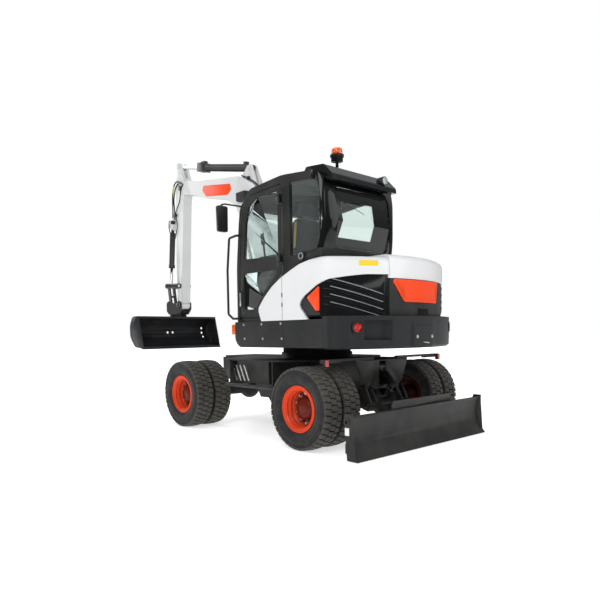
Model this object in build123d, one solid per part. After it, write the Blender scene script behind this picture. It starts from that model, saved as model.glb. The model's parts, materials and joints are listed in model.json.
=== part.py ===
from build123d import *
import math
import os

# Compact wheeled excavator, in millimetres.
# Machine axes while modelling: X forwards to the bucket, Y to the driver's left, Z up, ground at Z = 0 and the
# slewing axis at X = 0, Y = 0. On export the whole machine is moved along X, so that the origin is the middle
# of its footprint.

# Wheels and axles
WHEELBASE = 2200.0
REAR_AXLE_X = -840.0
FRONT_AXLE_X = REAR_AXLE_X + WHEELBASE
OVERALL_WIDTH = 2200.0
TYRE_RADIUS = 420.0
TYRE_WIDTH = 228.0
DUAL_SPACING = 264.0
LUG_HEIGHT = 20.0
LUG_COUNT = 16
LUG_LENGTH = 66.0
LUG_WIDTH = 98.0
RIM_FLANGE_RADIUS = 235.0
BEAD_RADIUS = 205.0
SEAT_GAP = 0.3
RIM_WALL = 9.0
WHEEL_DISC = 14.0
HUB_RADIUS = 118.0
SPINDLE_RADIUS = 60.0
SPINDLE_LENGTH = 90.0
KINGPIN_RADIUS = 22.0
KINGPIN_INSET = 108.0
AXLE_TUBE_RADIUS = 72.0
STEER_ARM_REACH = 178.0

# Chassis
DECK_TOP_Z = 883.0
DECK_PLATE = 22.0
FRAME_HALF_WIDTH = 300.0
FRAME_BOTTOM_Z = 560.0
FRAME_REAR_X = -1030.0
FRAME_FRONT_X = 1560.0
BELLY_Z = 365.0
STEP_FRONT_X = 640.0
STEP_REAR_X = -270.0
STEP_OUTER_Y = 940.0
STEP_RUNG_Z = 582.0
STEP_RUNG_RADIUS = 20.0
SLEW_RADIUS = 430.0
SLEW_BORE = 300.0
LOWER_RACE = 62.0

# Blade
BLADE_WIDTH = 2190.0
BLADE_EDGE_X = -1640.0
BLADE_EDGE_Z = 8.0
BLADE_HEIGHT = 412.0
BLADE_CENTRE_RISE = 85.0
BLADE_CENTRE_WIDTH = 1000.0
BLADE_PLATE = 14.0
BLADE_PIVOT = (-1085.0, 400.0)
BLADE_ARM_Y = 260.0
BLADE_CYLINDER_TOP = (-990.0, 800.0)
BLADE_CYLINDER_FOOT = (-1318.0, 408.0)

# House
HOUSE_HALF_WIDTH = 975.0
HOUSE_FRONT_X = 330.0
SKIRT_BOTTOM_Z = 1022.0
SKIRT_TOP_Z = 1305.0
PANEL = 30.0
HOUSE_PLATE = 28.0
TAIL_RADIUS = 1560.0
COUNTERWEIGHT_BOTTOM_Z = 1008.0
COUNTERWEIGHT_TOP_Z = 1330.0
COUNTERWEIGHT_FRONT_X = -1090.0
HOOD_RADIUS = 1480.0
ENGINE_FRONT_X = -560.0
HOOD_TOP_Z = 1935.0
HOOD_LEFT_Y = 380.0
HOOD_RIGHT_Y = -640.0
HOOD_FRONT_X = -1135.0
HOOD_HINGE_RADIUS = 9.0
HOOD_HINGE_PIN = 4.0
HOOD_HINGE_Y = (-560.0, -240.0)
HOOD_HINGE_LENGTH = 60.0
HOOD_SPLIT_Z = 1700.0
LID_GAP = 6.0
CORNER_RADIUS = 150.0
CROWN_RADIUS = 60.0
GRILLE_RECESS = 14.0
SLAT_RISE = 10.0
SLAT_HEIGHT = 30.0
SLAT_DROP = 150.0
SLAT_TOPS = (1690.0, 1615.0, 1540.0, 1465.0)
BADGE_RISE = 12.0
BADGE_RIM = 24.0
ACCENT_THICKNESS = 12.0
COUNTERWEIGHT_INNER_RADIUS = 1500.0
LAMP_ANGLE = 29.5
LAMP_Z = 1218.0
LAMP_RADIUS = 46.0
MARKER_LENGTH = 90.0
POCKET_DEPTH = 62.0
SWING_LUGS = ((SKIRT_BOTTOM_Z + 10, SKIRT_BOTTOM_Z + 62), (SKIRT_TOP_Z - 68, SKIRT_TOP_Z - 16))

# Cab
CAB_LEFT_Y = 944.0
CAB_RIGHT_Y = -160.0
CAB_WALL = 45.0
DOOR_REAR_X = -470.0
DOOR_HINGE_X = DOOR_REAR_X + 8.0
DOOR_HINGE_STANDOFF = 22.0
DOOR_HINGE_RADIUS = 14.0
DOOR_HINGE_PIN = 6.0
DOOR_HINGE_HEIGHT = 90.0
DOOR_HINGE_Z = (1900.0, 2500.0)
HINGE_LUG = 22.0
GLASS = 6.0
SEAT_FLOOR_Z = 1780.0
STEERING_WHEEL = (93, 540, 2020)
STEERING_WHEEL_RADIUS = 150.0
MIRROR = (455.0, 510.0)
MIRROR_Y = (955.0, 1090.0)
MIRROR_Z = (2335.0, 2625.0)
BEACON = (-800.0, 450.0)
REAR_WORK_LAMP = (73.0, 2744.0)

# Swing post, boom, arm and bucket, all in the boom's own plane
BOOM_Y = -100.0
SWING_X = 620.0
SWING_PIN_RADIUS = 45.0
BOOM_FOOT = (800.0, 1350.0)
BOOM_CYLINDER_FOOT = (1020.0, 1120.0)
BOOM_CYLINDER_EYE = (1500.0, 2550.0)
ARM_PIVOT = (3060.0, 3480.0)
ARM_CYLINDER_FOOT = (1340.0, 3440.0)
ARM_CYLINDER_EYE = (3140.0, 3835.0)
BUCKET_PIVOT = (3220.0, 1655.0)
LINK_FOOT = (3550.0, 1675.0)
LINK_TOP = (3610.0, 1985.0)
ROCKER_PIVOT = (3190.0, 1960.0)
BUCKET_CYLINDER_FOOT = (3500.0, 2960.0)
BOOM_WIDTH = 240.0
ARM_WIDTH = 150.0
BUCKET_WIDTH = 1440.0
PIN_RADIUS = 30.0
CHEEK = 22.0
CHEEK_GAP = 2.0
FORK_DEPTH = 420.0
EYE_HALF = 28.0
NECK_LENGTH = 64.0
ROD_END_GAP = 6.0
CYLINDER_PIN_RADIUS = 22.0
POCKET_HALF_WIDTH = 60.0
CHEEK_SPAN = 46.0
BUCKET_PLATE = 14.0
COUPLER_BODY_DROP = 118.0
RUNNING_FIT = 0.05
FACE_GAP = 0.3
PIN_BORE = CYLINDER_PIN_RADIUS + RUNNING_FIT
FORK_DEPTH_X = ARM_PIVOT[0] - FORK_DEPTH

SIDE = Plane(origin=(0, 0, 0), x_dir=(1, 0, 0), z_dir=(0, -1, 0))
END = Plane(origin=(0, 0, 0), x_dir=(0, 1, 0), z_dir=(1, 0, 0))
PLAN = Plane.XY
ACROSS = {"side": (SIDE, Vector(0, 1, 0)), "end": (END, Vector(1, 0, 0)), "plan": (PLAN, Vector(0, 0, 1))}


def outline(corners):
    """Flat face through corners of (u, v) or (u, v, rounding radius)."""
    face = Face(Wire.make_polygon([Vector(corner[0], corner[1]) for corner in corners], close=True))
    for corner in corners:
        if len(corner) == 3:
            vertex = min(face.vertices(), key=lambda v: abs(v.X - corner[0]) + abs(v.Y - corner[1]))
            face = face.fillet_2d(corner[2], [vertex])
    return face


def slab(view, corners, low, high):
    """Solid whose outline is drawn in a view, from low to high across it."""
    plane, across = ACROSS[view]
    face = (plane.location * outline(corners)).moved(Location(across * low))
    return Solid.extrude(face, across * (high - low))


def block(x, y, z):
    """Box between the low and high value of each axis."""
    return slab("plan", [(x[0], y[0]), (x[1], y[0]), (x[1], y[1]), (x[0], y[1])], z[0], z[1])


def bar(start, end, radius):
    """Round bar from one point to another."""
    axis = Vector(*end) - Vector(*start)
    return Solid.make_cylinder(radius, axis.length, Plane(origin=start, z_dir=axis))


def cross_bar(point, low, high, radius):
    """Round bar across the machine at a point (x, z)."""
    return bar((point[0], low, point[1]), (point[0], high, point[1]), radius)


def upright(x, y, low, high, radius):
    """Round bar that stands up."""
    return bar((x, y, low), (x, y, high), radius)


def pipe(points, bend, radius):
    """Tube-shaped rod along straight runs with equal bends."""
    path = FilletPolyline(*points, radius=bend)
    start = Plane(origin=path @ 0, z_dir=path % 0)
    return sweep(start * Circle(radius), path=path)


def join(*shapes):
    """One shape fused from several."""
    first, *rest = [solid for shape in shapes for solid in shape.solids()]
    return Compound(first.fuse(*rest).solids()) if rest else first


def cut(shape, *tools):
    """Shape with the tools taken out."""
    result = [solid for solid in shape.solids()]
    taken = [solid for tool in tools for solid in tool.solids()]
    return Compound([piece for solid in result for piece in solid.cut(*taken).solids()])


def group(*shapes):
    """Separate solids kept in one piece."""
    return Compound([solid for shape in shapes for solid in shape.solids()])


def mirrored(shape):
    """The same piece on the machine's other side."""
    return shape.mirror(Plane.XZ)


def both_sides(shape):
    return group(shape, mirrored(shape))


def polar(centre, radius, degrees):
    """Point (u, v) on a circle."""
    angle = math.radians(degrees)
    return (centre[0] + radius * math.cos(angle), centre[1] + radius * math.sin(angle))


def beam(start, end, half_start, half_end, low, high):
    """Flat link in the side view between two eyes, with rounded ends."""
    along = math.degrees(math.atan2(end[1] - start[1], end[0] - start[0]))
    edges = [polar(start, half_start, along + 90), polar(end, half_end, along + 90),
             polar(end, half_end, along - 90), polar(start, half_start, along - 90)]
    return join(slab("side", edges, low, high), cross_bar(start, low, high, half_start),
                cross_bar(end, low, high, half_end))


# Tyre section from bead to shoulder: columns are the distance from its middle and the radius
TREAD_VALLEY = TYRE_RADIUS - LUG_HEIGHT
TYRE_SECTION = [(66.0, BEAD_RADIUS + SEAT_GAP), (TYRE_WIDTH / 2, 312.0), (LUG_WIDTH, TREAD_VALLEY)]
OUTER_TYRE_Y = OVERALL_WIDTH / 2 - TYRE_WIDTH / 2
INNER_TYRE_Y = OUTER_TYRE_Y - DUAL_SPACING
WHEEL_INNER_Y = INNER_TYRE_Y - TYRE_WIDTH / 2
KINGPIN_Y = WHEEL_INNER_Y - KINGPIN_INSET


def turned(profile, y=0.0):
    """Ring turned about the wheel's axis from points (y, radius), at the origin."""
    face = Face(Wire.make_polygon([Vector(0, y + side, radius) for side, radius in profile], close=True))
    return Solid.revolve(face, 360, Axis.Y)


def flat_corner(radius, index):
    """Point (u, v) where one flat of the tyre's polygon ends and the next begins, the first flat at the bottom."""
    half = 180.0 / (2 * LUG_COUNT)
    return polar((0, 0), radius / math.cos(math.radians(half)), -90.0 - half + index * 2 * half)


def facets(radius, y):
    """Regular polygon around the wheel's axis, with two flats for each lug of a row."""
    corners = [flat_corner(radius, index) for index in range(2 * LUG_COUNT)]
    return Wire.make_polygon([Vector(u, y, v) for u, v in corners], close=True)


def lug_row(y_low, y_high, first):
    """Ring of lugs across one half of the tread: every second flat is raised to the tyre's radius."""
    tip = math.degrees(math.atan(LUG_LENGTH / 2 / TYRE_RADIUS))
    tip_radius = TYRE_RADIUS / math.cos(math.radians(tip))
    corners = []
    for index in range(2 * LUG_COUNT):
        corners.append(flat_corner(TREAD_VALLEY, index))
        if index % 2 == first:
            middle = -90.0 + index * 180.0 / LUG_COUNT
            corners += [polar((0, 0), tip_radius, middle - tip), polar((0, 0), tip_radius, middle + tip)]
    core = Solid.extrude(Face(facets(TREAD_VALLEY - LUG_HEIGHT, y_low - 1)), Vector(0, y_high - y_low + 2, 0))
    return cut(slab("side", corners, y_low, y_high), core)


def tyre(y):
    """Tyre with two staggered rows of lugs out to their tips, around the Y axis."""
    sections = [(-side, radius) for side, radius in TYRE_SECTION]
    sections += [(side, radius) for side, radius in reversed(TYRE_SECTION)]
    carcass = Solid.make_loft([facets(radius, y + side) for side, radius in sections], ruled=True)
    bore = Solid.extrude(Face(facets(BEAD_RADIUS + SEAT_GAP, y - TYRE_WIDTH)), Vector(0, 2 * TYRE_WIDTH, 0))
    return cut(join(carcass, lug_row(y - LUG_WIDTH, y, 0), lug_row(y, y + LUG_WIDTH, 1)), bore)


def rims():
    """Both rims of a twin wheel with their discs and hub, outer side towards +Y, around the Y axis."""
    half = 0.36 * TYRE_WIDTH
    rings = []
    for middle, disc in ((OUTER_TYRE_Y, -half + 40), (INNER_TYRE_Y, half - 40)):
        rings.append(turned([(-half, RIM_FLANGE_RADIUS), (-half - RIM_WALL, RIM_FLANGE_RADIUS),
                             (-half - RIM_WALL, BEAD_RADIUS - RIM_WALL), (half + RIM_WALL, BEAD_RADIUS - RIM_WALL),
                             (half + RIM_WALL, RIM_FLANGE_RADIUS), (half, RIM_FLANGE_RADIUS),
                             (half, BEAD_RADIUS), (-half, BEAD_RADIUS)], middle))
        rings.append(turned([(disc, HUB_RADIUS - 30), (disc, BEAD_RADIUS - 2), (disc + WHEEL_DISC, BEAD_RADIUS - 2),
                             (disc + WHEEL_DISC, HUB_RADIUS - 30)], middle))
    inner_face = WHEEL_INNER_Y - 20
    hub_end = OUTER_TYRE_Y + 10
    spindle_end = WHEEL_INNER_Y + SPINDLE_LENGTH
    hub = turned([(inner_face, SPINDLE_RADIUS + RUNNING_FIT), (inner_face, HUB_RADIUS), (hub_end, HUB_RADIUS),
                  (hub_end + 25, HUB_RADIUS - 35), (hub_end + 25, 0), (spindle_end, 0),
                  (spindle_end, SPINDLE_RADIUS + RUNNING_FIT)])
    return join(hub, *rings)


def wheel_nodes():
    """Tyres and rims of the four twin wheels."""
    pair = group(tyre(OUTER_TYRE_Y), tyre(INNER_TYRE_Y))
    metal = rims()
    nodes = {}
    for end, x in (("rear", REAR_AXLE_X), ("front", FRONT_AXLE_X)):
        place = Location((x, 0, TYRE_RADIUS))
        for side in ("left", "right"):
            rubber, steel = (pair, metal) if side == "left" else (mirrored(pair), mirrored(metal))
            nodes[f"tyres_{end}_{side}"] = rubber.moved(place)
            nodes[f"rims_{end}_{side}"] = steel.moved(place)
    return nodes


SPINDLE_START_Y = WHEEL_INNER_Y - 24.0
SPINDLE_END_Y = WHEEL_INNER_Y + SPINDLE_LENGTH - 4.0


def rear_axle():
    """Rigid axle with differential, gearbox, pads to the frame and the propeller shaft forwards."""
    centre = (REAR_AXLE_X, TYRE_RADIUS)
    tube = cross_bar(centre, -SPINDLE_START_Y, SPINDLE_START_Y, AXLE_TUBE_RADIUS)
    bulge = Solid.make_sphere(132.0, Plane(origin=(REAR_AXLE_X, 0, TYRE_RADIUS)))
    spindles = both_sides(cross_bar(centre, SPINDLE_START_Y - 60, SPINDLE_END_Y, SPINDLE_RADIUS))
    flanges = both_sides(cross_bar(centre, SPINDLE_START_Y - 50, SPINDLE_START_Y, HUB_RADIUS - 10))
    pads = both_sides(block((REAR_AXLE_X - 70, REAR_AXLE_X + 70), (200, 280), (TYRE_RADIUS, FRAME_BOTTOM_Z)))
    gearbox = block((REAR_AXLE_X + 80, REAR_AXLE_X + 330), (-140, 130), (TYRE_RADIUS - 100, TYRE_RADIUS + 90))
    shaft = bar((REAR_AXLE_X + 330, 0, TYRE_RADIUS), (FRONT_AXLE_X - 150, 0, TYRE_RADIUS), 32.0)
    return join(tube, bulge, spindles, flanges, pads, gearbox, shaft)


def front_axle():
    """Steered axle beam with eyes for the kingpins and the pads that carry the frame."""
    centre = (FRONT_AXLE_X, TYRE_RADIUS)
    tube = cross_bar(centre, -KINGPIN_Y, KINGPIN_Y, AXLE_TUBE_RADIUS - 8)
    bulge = Solid.make_sphere(135.0, Plane(origin=(FRONT_AXLE_X + 10, 0, TYRE_RADIUS)))
    eyes = both_sides(upright(FRONT_AXLE_X, KINGPIN_Y, TYRE_RADIUS - 75, TYRE_RADIUS + 75, 52.0))
    bores = both_sides(upright(FRONT_AXLE_X, KINGPIN_Y, TYRE_RADIUS - 80, TYRE_RADIUS + 80,
                               KINGPIN_RADIUS + RUNNING_FIT))
    pivot = block((FRONT_AXLE_X - 90, FRONT_AXLE_X + 90), (-110, 110), (TYRE_RADIUS + 60, FRAME_BOTTOM_Z))
    guide = cross_bar((FRONT_AXLE_X + STEER_ARM_REACH, TYRE_RADIUS), -150, 150, 34.0)
    web = block((FRONT_AXLE_X + 60, FRONT_AXLE_X + 160), (-60, 60), (TYRE_RADIUS - 26, TYRE_RADIUS + 26))
    bore = cross_bar((FRONT_AXLE_X + STEER_ARM_REACH, TYRE_RADIUS), -151, 151, 18.0 + RUNNING_FIT)
    return cut(join(tube, bulge, eyes, pivot, guide, web), bores, bore)


def knuckle():
    """Left steering knuckle: fork around the axle's eye, kingpin, spindle and steering arm."""
    axle = (FRONT_AXLE_X, TYRE_RADIUS)
    ears = []
    for low, high in ((-110, -75 - FACE_GAP), (75 + FACE_GAP, 110)):
        ears.append(block((FRONT_AXLE_X - 50, FRONT_AXLE_X + 50), (KINGPIN_Y - 10, SPINDLE_START_Y),
                          (TYRE_RADIUS + low, TYRE_RADIUS + high)))
        ears.append(upright(FRONT_AXLE_X, KINGPIN_Y, TYRE_RADIUS + low, TYRE_RADIUS + high, 50.0))
    back = block((FRONT_AXLE_X - 50, FRONT_AXLE_X + 50), (SPINDLE_START_Y - 24, SPINDLE_START_Y),
                 (TYRE_RADIUS - 110, TYRE_RADIUS + 110))
    spindle = cross_bar(axle, SPINDLE_START_Y - 20, SPINDLE_END_Y, SPINDLE_RADIUS)
    pin = upright(FRONT_AXLE_X, KINGPIN_Y, TYRE_RADIUS - 109, TYRE_RADIUS + 109, KINGPIN_RADIUS)
    arm_tip = (FRONT_AXLE_X + STEER_ARM_REACH, KINGPIN_Y - 15)
    arm = slab("plan", [(FRONT_AXLE_X + 20, KINGPIN_Y - 40), (arm_tip[0], arm_tip[1] - 26),
                        (arm_tip[0], arm_tip[1] + 26), (FRONT_AXLE_X + 20, KINGPIN_Y + 40)],
               TYRE_RADIUS - 110, TYRE_RADIUS - 86)
    tip = upright(arm_tip[0], arm_tip[1], TYRE_RADIUS - 110, TYRE_RADIUS - 86, 26.0)
    return join(*ears, back, spindle, pin, arm, tip)


def steering_rod():
    """Rod of the steering cylinder, with an eye at each end over the knuckle's arm."""
    x = FRONT_AXLE_X + STEER_ARM_REACH
    rod = cross_bar((x, TYRE_RADIUS), -KINGPIN_Y + 15, KINGPIN_Y - 15, 18.0)
    eyes = both_sides(upright(x, KINGPIN_Y - 15, TYRE_RADIUS - 86 + FACE_GAP, TYRE_RADIUS + 22, 24.0))
    return join(rod, eyes)


def chassis():
    """Welded frame: deck, box girder, middle belly, end plates, blade brackets and the fixed slew race."""
    width = FRAME_HALF_WIDTH
    deck_low = DECK_TOP_Z - DECK_PLATE
    deck = slab("plan", [(FRAME_REAR_X, -430), (-620, -430), (STEP_REAR_X, -880, 40), (STEP_FRONT_X, -880, 40),
                         (980, -330), (FRAME_FRONT_X, -260), (FRAME_FRONT_X, 260), (980, 330),
                         (STEP_FRONT_X, 880, 40), (STEP_REAR_X, 880, 40), (-620, 430), (FRAME_REAR_X, 430)],
                deck_low, DECK_TOP_Z)
    girder = slab("side", [(FRAME_REAR_X, FRAME_BOTTOM_Z), (-480, FRAME_BOTTOM_Z), (-360, BELLY_Z),
                           (740, BELLY_Z), (860, FRAME_BOTTOM_Z), (FRAME_FRONT_X, FRAME_BOTTOM_Z),
                           (FRAME_FRONT_X, deck_low), (FRAME_REAR_X, deck_low)], -width, width)
    shaft_way = block((-700, 1400), (-150, 150), (BELLY_Z - 50, TYRE_RADIUS + 110))
    race = cut(upright(0, 0, DECK_TOP_Z, DECK_TOP_Z + LOWER_RACE, SLEW_RADIUS),
               upright(0, 0, DECK_TOP_Z - 1, DECK_TOP_Z + LOWER_RACE + 1, SLEW_BORE))
    pivot_x, pivot_z = BLADE_PIVOT
    lug = slab("side", [(FRAME_REAR_X + 60, FRAME_BOTTOM_Z + 40), (FRAME_REAR_X + 60, pivot_z - 20),
                        (pivot_x, pivot_z - 60), (pivot_x - 60, pivot_z), (FRAME_REAR_X - 20, FRAME_BOTTOM_Z + 40)],
               -12, 12)
    lugs = []
    for side in (-1, 1):
        for offset in (-CHEEK_SPAN, CHEEK_SPAN):
            lugs.append(lug.moved(Location((0, side * BLADE_ARM_Y + offset, 0))))
    bores = cross_bar(BLADE_PIVOT, -400, 400, PIN_RADIUS + RUNNING_FIT)
    top_x, top_z = BLADE_CYLINDER_TOP
    gap = EYE_HALF + CHEEK_GAP
    bosses = both_sides(cross_bar(BLADE_CYLINDER_TOP, gap, POCKET_HALF_WIDTH + 5, 38.0))
    end_plate = slab("end", [(-430, deck_low), (-330, FRAME_BOTTOM_Z + 60), (330, FRAME_BOTTOM_Z + 60),
                             (430, deck_low)], FRAME_REAR_X, FRAME_REAR_X + 25)
    pocket = block((FRAME_REAR_X - 1, FRAME_REAR_X + 160), (-POCKET_HALF_WIDTH, POCKET_HALF_WIDTH),
                   (top_z - 200, deck_low))
    pin = cross_bar(BLADE_CYLINDER_TOP, -POCKET_HALF_WIDTH - 10, POCKET_HALF_WIDTH + 10, 22.0)
    body = cut(join(cut(girder, shaft_way), deck, end_plate), pocket)
    return join(cut(join(body, *lugs), bores), race, bosses, pin)


def steps():
    """Step boxes beside the frame, with slanted louvres, a lower rung and its hangers."""
    low = STEP_RUNG_Z
    high = DECK_TOP_Z - DECK_PLATE
    front, rear = STEP_FRONT_X - 120, STEP_REAR_X + 200
    box = block((rear, front), (FRAME_HALF_WIDTH, STEP_OUTER_Y - 120), (low + 20, high))
    slot = slab("side", [(-9, -95), (9, -95), (79, 95), (61, 95)], STEP_OUTER_Y - 150, STEP_OUTER_Y - 110)
    slots = [slot.moved(Location((front - 90 - index * 44, 0, (low + high) / 2))) for index in range(5)]
    rung = pipe([(STEP_FRONT_X - 20, FRAME_HALF_WIDTH, low), (STEP_FRONT_X - 20, STEP_OUTER_Y, low),
                 (STEP_REAR_X + 10, STEP_OUTER_Y, low), (STEP_REAR_X + 10, FRAME_HALF_WIDTH, low)],
                60.0, STEP_RUNG_RADIUS)
    hangers = [block((x, x + 12), (FRAME_HALF_WIDTH, STEP_OUTER_Y - 60), (low + 5, high))
               for x in (STEP_FRONT_X - 60, STEP_REAR_X + 60)]
    side = join(cut(box, *slots), rung, *hangers)
    return both_sides(side)


def lamp_arms():
    """Arms behind the rear wheels with a red lamp at each outer end."""
    x = FRAME_REAR_X - 30
    arm = join(block((x - 15, x + 29), (200, 700), (DECK_TOP_Z + 2, DECK_TOP_Z + 26)),
               block((x - 15, x + 29), (700, 960), (DECK_TOP_Z - 14, DECK_TOP_Z + 26)),
               block((x - 15, FRAME_REAR_X + 60), (200, 300), (DECK_TOP_Z, DECK_TOP_Z + 12)),
               block((x - 40, x - 15), (915, 960), (DECK_TOP_Z - 44, DECK_TOP_Z + 26)))
    return both_sides(arm)


def chassis_lamps():
    """Red lamps on the outer ends of the rear arms."""
    face = FRAME_REAR_X - 70 - FACE_GAP
    return both_sides(block((face - 14, face), (919, 956), (DECK_TOP_Z - 40, DECK_TOP_Z + 22)))


def blade():
    """Dozer blade: curved mouldboard, wear edge, end plates, raised centre, ribs and the two arms."""
    x, z, top = BLADE_EDGE_X, BLADE_EDGE_Z, BLADE_EDGE_Z + BLADE_HEIGHT
    half = BLADE_WIDTH / 2

    def board(upper, thickness, low, high):
        face = [(x, z), (x + 60, z + 60), (x + 92, z + 150), (x + 100, z + 260), (x + 88, upper - 40), (x + 70, upper)]
        back = [(u + thickness, w) for u, w in reversed(face)]
        return slab("side", face + back, low, high)

    centre = BLADE_CENTRE_WIDTH / 2
    plate = join(board(top, BLADE_PLATE, -half, half),
                 board(top + BLADE_CENTRE_RISE, BLADE_PLATE, -centre, centre))
    edge = slab("side", [(x, z), (x + 16, z), (x + 64, z + 52), (x + 60, z + 60)], -half, half)
    ends = both_sides(slab("side", [(x + 4, z), (x + 130, z), (x + 165, top - 20), (x + 150, top + 18),
                                    (x + 60, top + 18), (x + 60, top - 60), (x + 36, z + 40)],
                           half - 16, half))
    stiffener = block((x + 100, x + 170), (-half + 20, half - 20), (z + 60, z + 150))
    rail = block((x + 95, x + 140), (-half + 20, half - 20), (top - 60, top - 20))
    pivot_x, pivot_z = BLADE_PIVOT
    arm = slab("side", [(x + 110, z + 70), (x + 110, z + 210), (pivot_x - 120, pivot_z + 35), (pivot_x, pivot_z + 48),
                        (pivot_x, pivot_z - 48), (pivot_x - 60, pivot_z - 48)], -32, 32)
    arms = both_sides(join(arm, cross_bar(BLADE_PIVOT, -32, 32, 48.0)).moved(Location((0, BLADE_ARM_Y, 0))))
    pins = both_sides(cross_bar(BLADE_PIVOT, BLADE_ARM_Y - 75, BLADE_ARM_Y + 75, PIN_RADIUS))
    foot_x, foot_z = BLADE_CYLINDER_FOOT
    ear = slab("side", [(x + 100, z + 240), (x + 100, top + 30), (foot_x, foot_z + 45), (foot_x + 45, foot_z),
                        (foot_x, foot_z - 45)], -10, 10)
    ears = [ear.moved(Location((0, offset, 0))) for offset in (-EYE_HALF - CHEEK_GAP - 10, EYE_HALF + CHEEK_GAP + 10)]
    cross = block((x + 190, x + 230), (-BLADE_ARM_Y - 20, BLADE_ARM_Y + 20), (z + 120, z + 190))
    tie_downs = both_sides(cross_bar((x + 128, top - 55), half - 20, half + 5, 20.0))
    return cut(join(plate, edge, ends, stiffener, rail, arms, pins, cross, *ears), tie_downs)


def cylinder(foot, eye, y, barrel_radius, rod_radius, barrel_length, blind_end, retraction):
    """Hydraulic cylinder from its foot to its rod's eye, as a barrel and a rod with closed eyes.

    The bore's blind end lies at a distance from the foot's pin, and the rod ends far enough from it to retract.
    """
    start = Vector(foot[0], y, foot[1])
    end = Vector(eye[0], y, eye[1])
    axis = (end - start).normalized()

    def along(distance):
        return start + axis * distance

    length = (end - start).length
    eye_radius = barrel_radius * 0.85
    back = cross_bar(foot, y - EYE_HALF, y + EYE_HALF, eye_radius)
    neck_end = eye_radius + NECK_LENGTH
    neck = bar(along(eye_radius * 0.5), along(neck_end + 2), EYE_HALF - 2)
    tube = join(neck, bar(along(neck_end), along(barrel_length), barrel_radius))
    gland = bar(along(barrel_length - 50), along(barrel_length + 8), barrel_radius + 7)
    bore = bar(along(blind_end), along(barrel_length + 20), rod_radius + RUNNING_FIT)
    pin_way = cross_bar(foot, y - EYE_HALF - 1, y + EYE_HALF + 1, PIN_BORE)
    barrel = cut(join(back, tube, gland), bore, pin_way)
    rod_start = blind_end + retraction + ROD_END_GAP
    rod = join(bar(along(rod_start), along(length - eye_radius * 0.7), rod_radius),
               cross_bar(eye, y - EYE_HALF, y + EYE_HALF, eye_radius))
    return barrel, rod


def tail_block(radius, front_x, half_width, low, high, corner, crown=0.0):
    """House plan between its sides and the tail's arc, from low to high, with rounded corners and upper edges."""
    sides = block((-radius - 10, front_x), (-half_width, half_width), (low, high))
    solid = (sides & upright(0, 0, low, high, radius)).solids()[0]
    solid = solid.fillet(corner, [edge for edge in solid.edges().filter_by(Axis.Z) if edge.center().X < front_x - 1])
    if not crown:
        return solid
    return solid.fillet(crown, [edge for edge in solid.edges()
                                if edge.center().Z > high - 1 and edge.center().X < front_x - 1])


def house_frame():
    """Revolving deck: upper race, deck plate, webs, bulkhead and the lugs that carry the swing post."""
    race_low = DECK_TOP_Z + LOWER_RACE + FACE_GAP
    plate_low = SKIRT_BOTTOM_Z + 10
    race = cut(upright(0, 0, race_low, plate_low, SLEW_RADIUS - 20),
               upright(0, 0, race_low - 1, plate_low + 1, SLEW_BORE))
    plate = cut(tail_block(COUNTERWEIGHT_INNER_RADIUS, HOUSE_FRONT_X - 20, HOUSE_HALF_WIDTH - PANEL - FACE_GAP,
                           plate_low, plate_low + HOUSE_PLATE, 60.0),
                block((-2000, COUNTERWEIGHT_FRONT_X + FACE_GAP), (-1000, 1000), (900, 1200)))
    webs = [block((ENGINE_FRONT_X + 40, HOUSE_FRONT_X - 60), (y, y + 18),
                  (plate_low + HOUSE_PLATE, SKIRT_TOP_Z)) for y in (BOOM_Y - 190, BOOM_Y + 172)]
    bulkhead = block((-200, -180), (-880, 880), (plate_low + HOUSE_PLATE, SKIRT_TOP_Z))
    nose = []
    for low, high in SWING_LUGS:
        nose.append(slab("plan", [(HOUSE_FRONT_X - 160, BOOM_Y - 220), (HOUSE_FRONT_X + 40, BOOM_Y - 190),
                                  (SWING_X - 20, BOOM_Y - 84), (SWING_X - 20, BOOM_Y + 84),
                                  (HOUSE_FRONT_X + 40, BOOM_Y + 190), (HOUSE_FRONT_X - 160, BOOM_Y + 220)],
                         low, high))
        nose.append(upright(SWING_X, BOOM_Y, low, high, 86.0))
    web = [block((HOUSE_FRONT_X - 160, HOUSE_FRONT_X + 60), (y, y + 18), (SWING_LUGS[0][0], SWING_LUGS[1][1]))
           for y in (BOOM_Y - 190, BOOM_Y + 172)]
    bore = upright(SWING_X, BOOM_Y, 900, 1400, SWING_PIN_RADIUS + RUNNING_FIT)
    return cut(join(race, plate, *webs, bulkhead, *nose, *web), bore)


def skirts():
    """Lower side panels of the house, rounded at their front corner and returned across the front."""
    rear = COUNTERWEIGHT_FRONT_X + FACE_GAP
    side = slab("side", [(rear, SKIRT_BOTTOM_Z), (HOUSE_FRONT_X, SKIRT_BOTTOM_Z, 120),
                         (HOUSE_FRONT_X, SKIRT_TOP_Z, 14), (rear, SKIRT_TOP_Z)],
                HOUSE_HALF_WIDTH - PANEL, HOUSE_HALF_WIDTH)
    return both_sides(side)


def front_sill():
    """Plates across the house front, left and right of the swing lugs."""
    low, high = SKIRT_BOTTOM_Z + 10 + HOUSE_PLATE + FACE_GAP, SKIRT_TOP_Z
    edge = HOUSE_HALF_WIDTH - PANEL - FACE_GAP
    return group(block((HOUSE_FRONT_X - PANEL, HOUSE_FRONT_X - 2), (BOOM_Y + 230, edge), (low, high)),
                 block((HOUSE_FRONT_X - PANEL, HOUSE_FRONT_X - 2), (-edge, BOOM_Y - 230), (low, high)))


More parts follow.
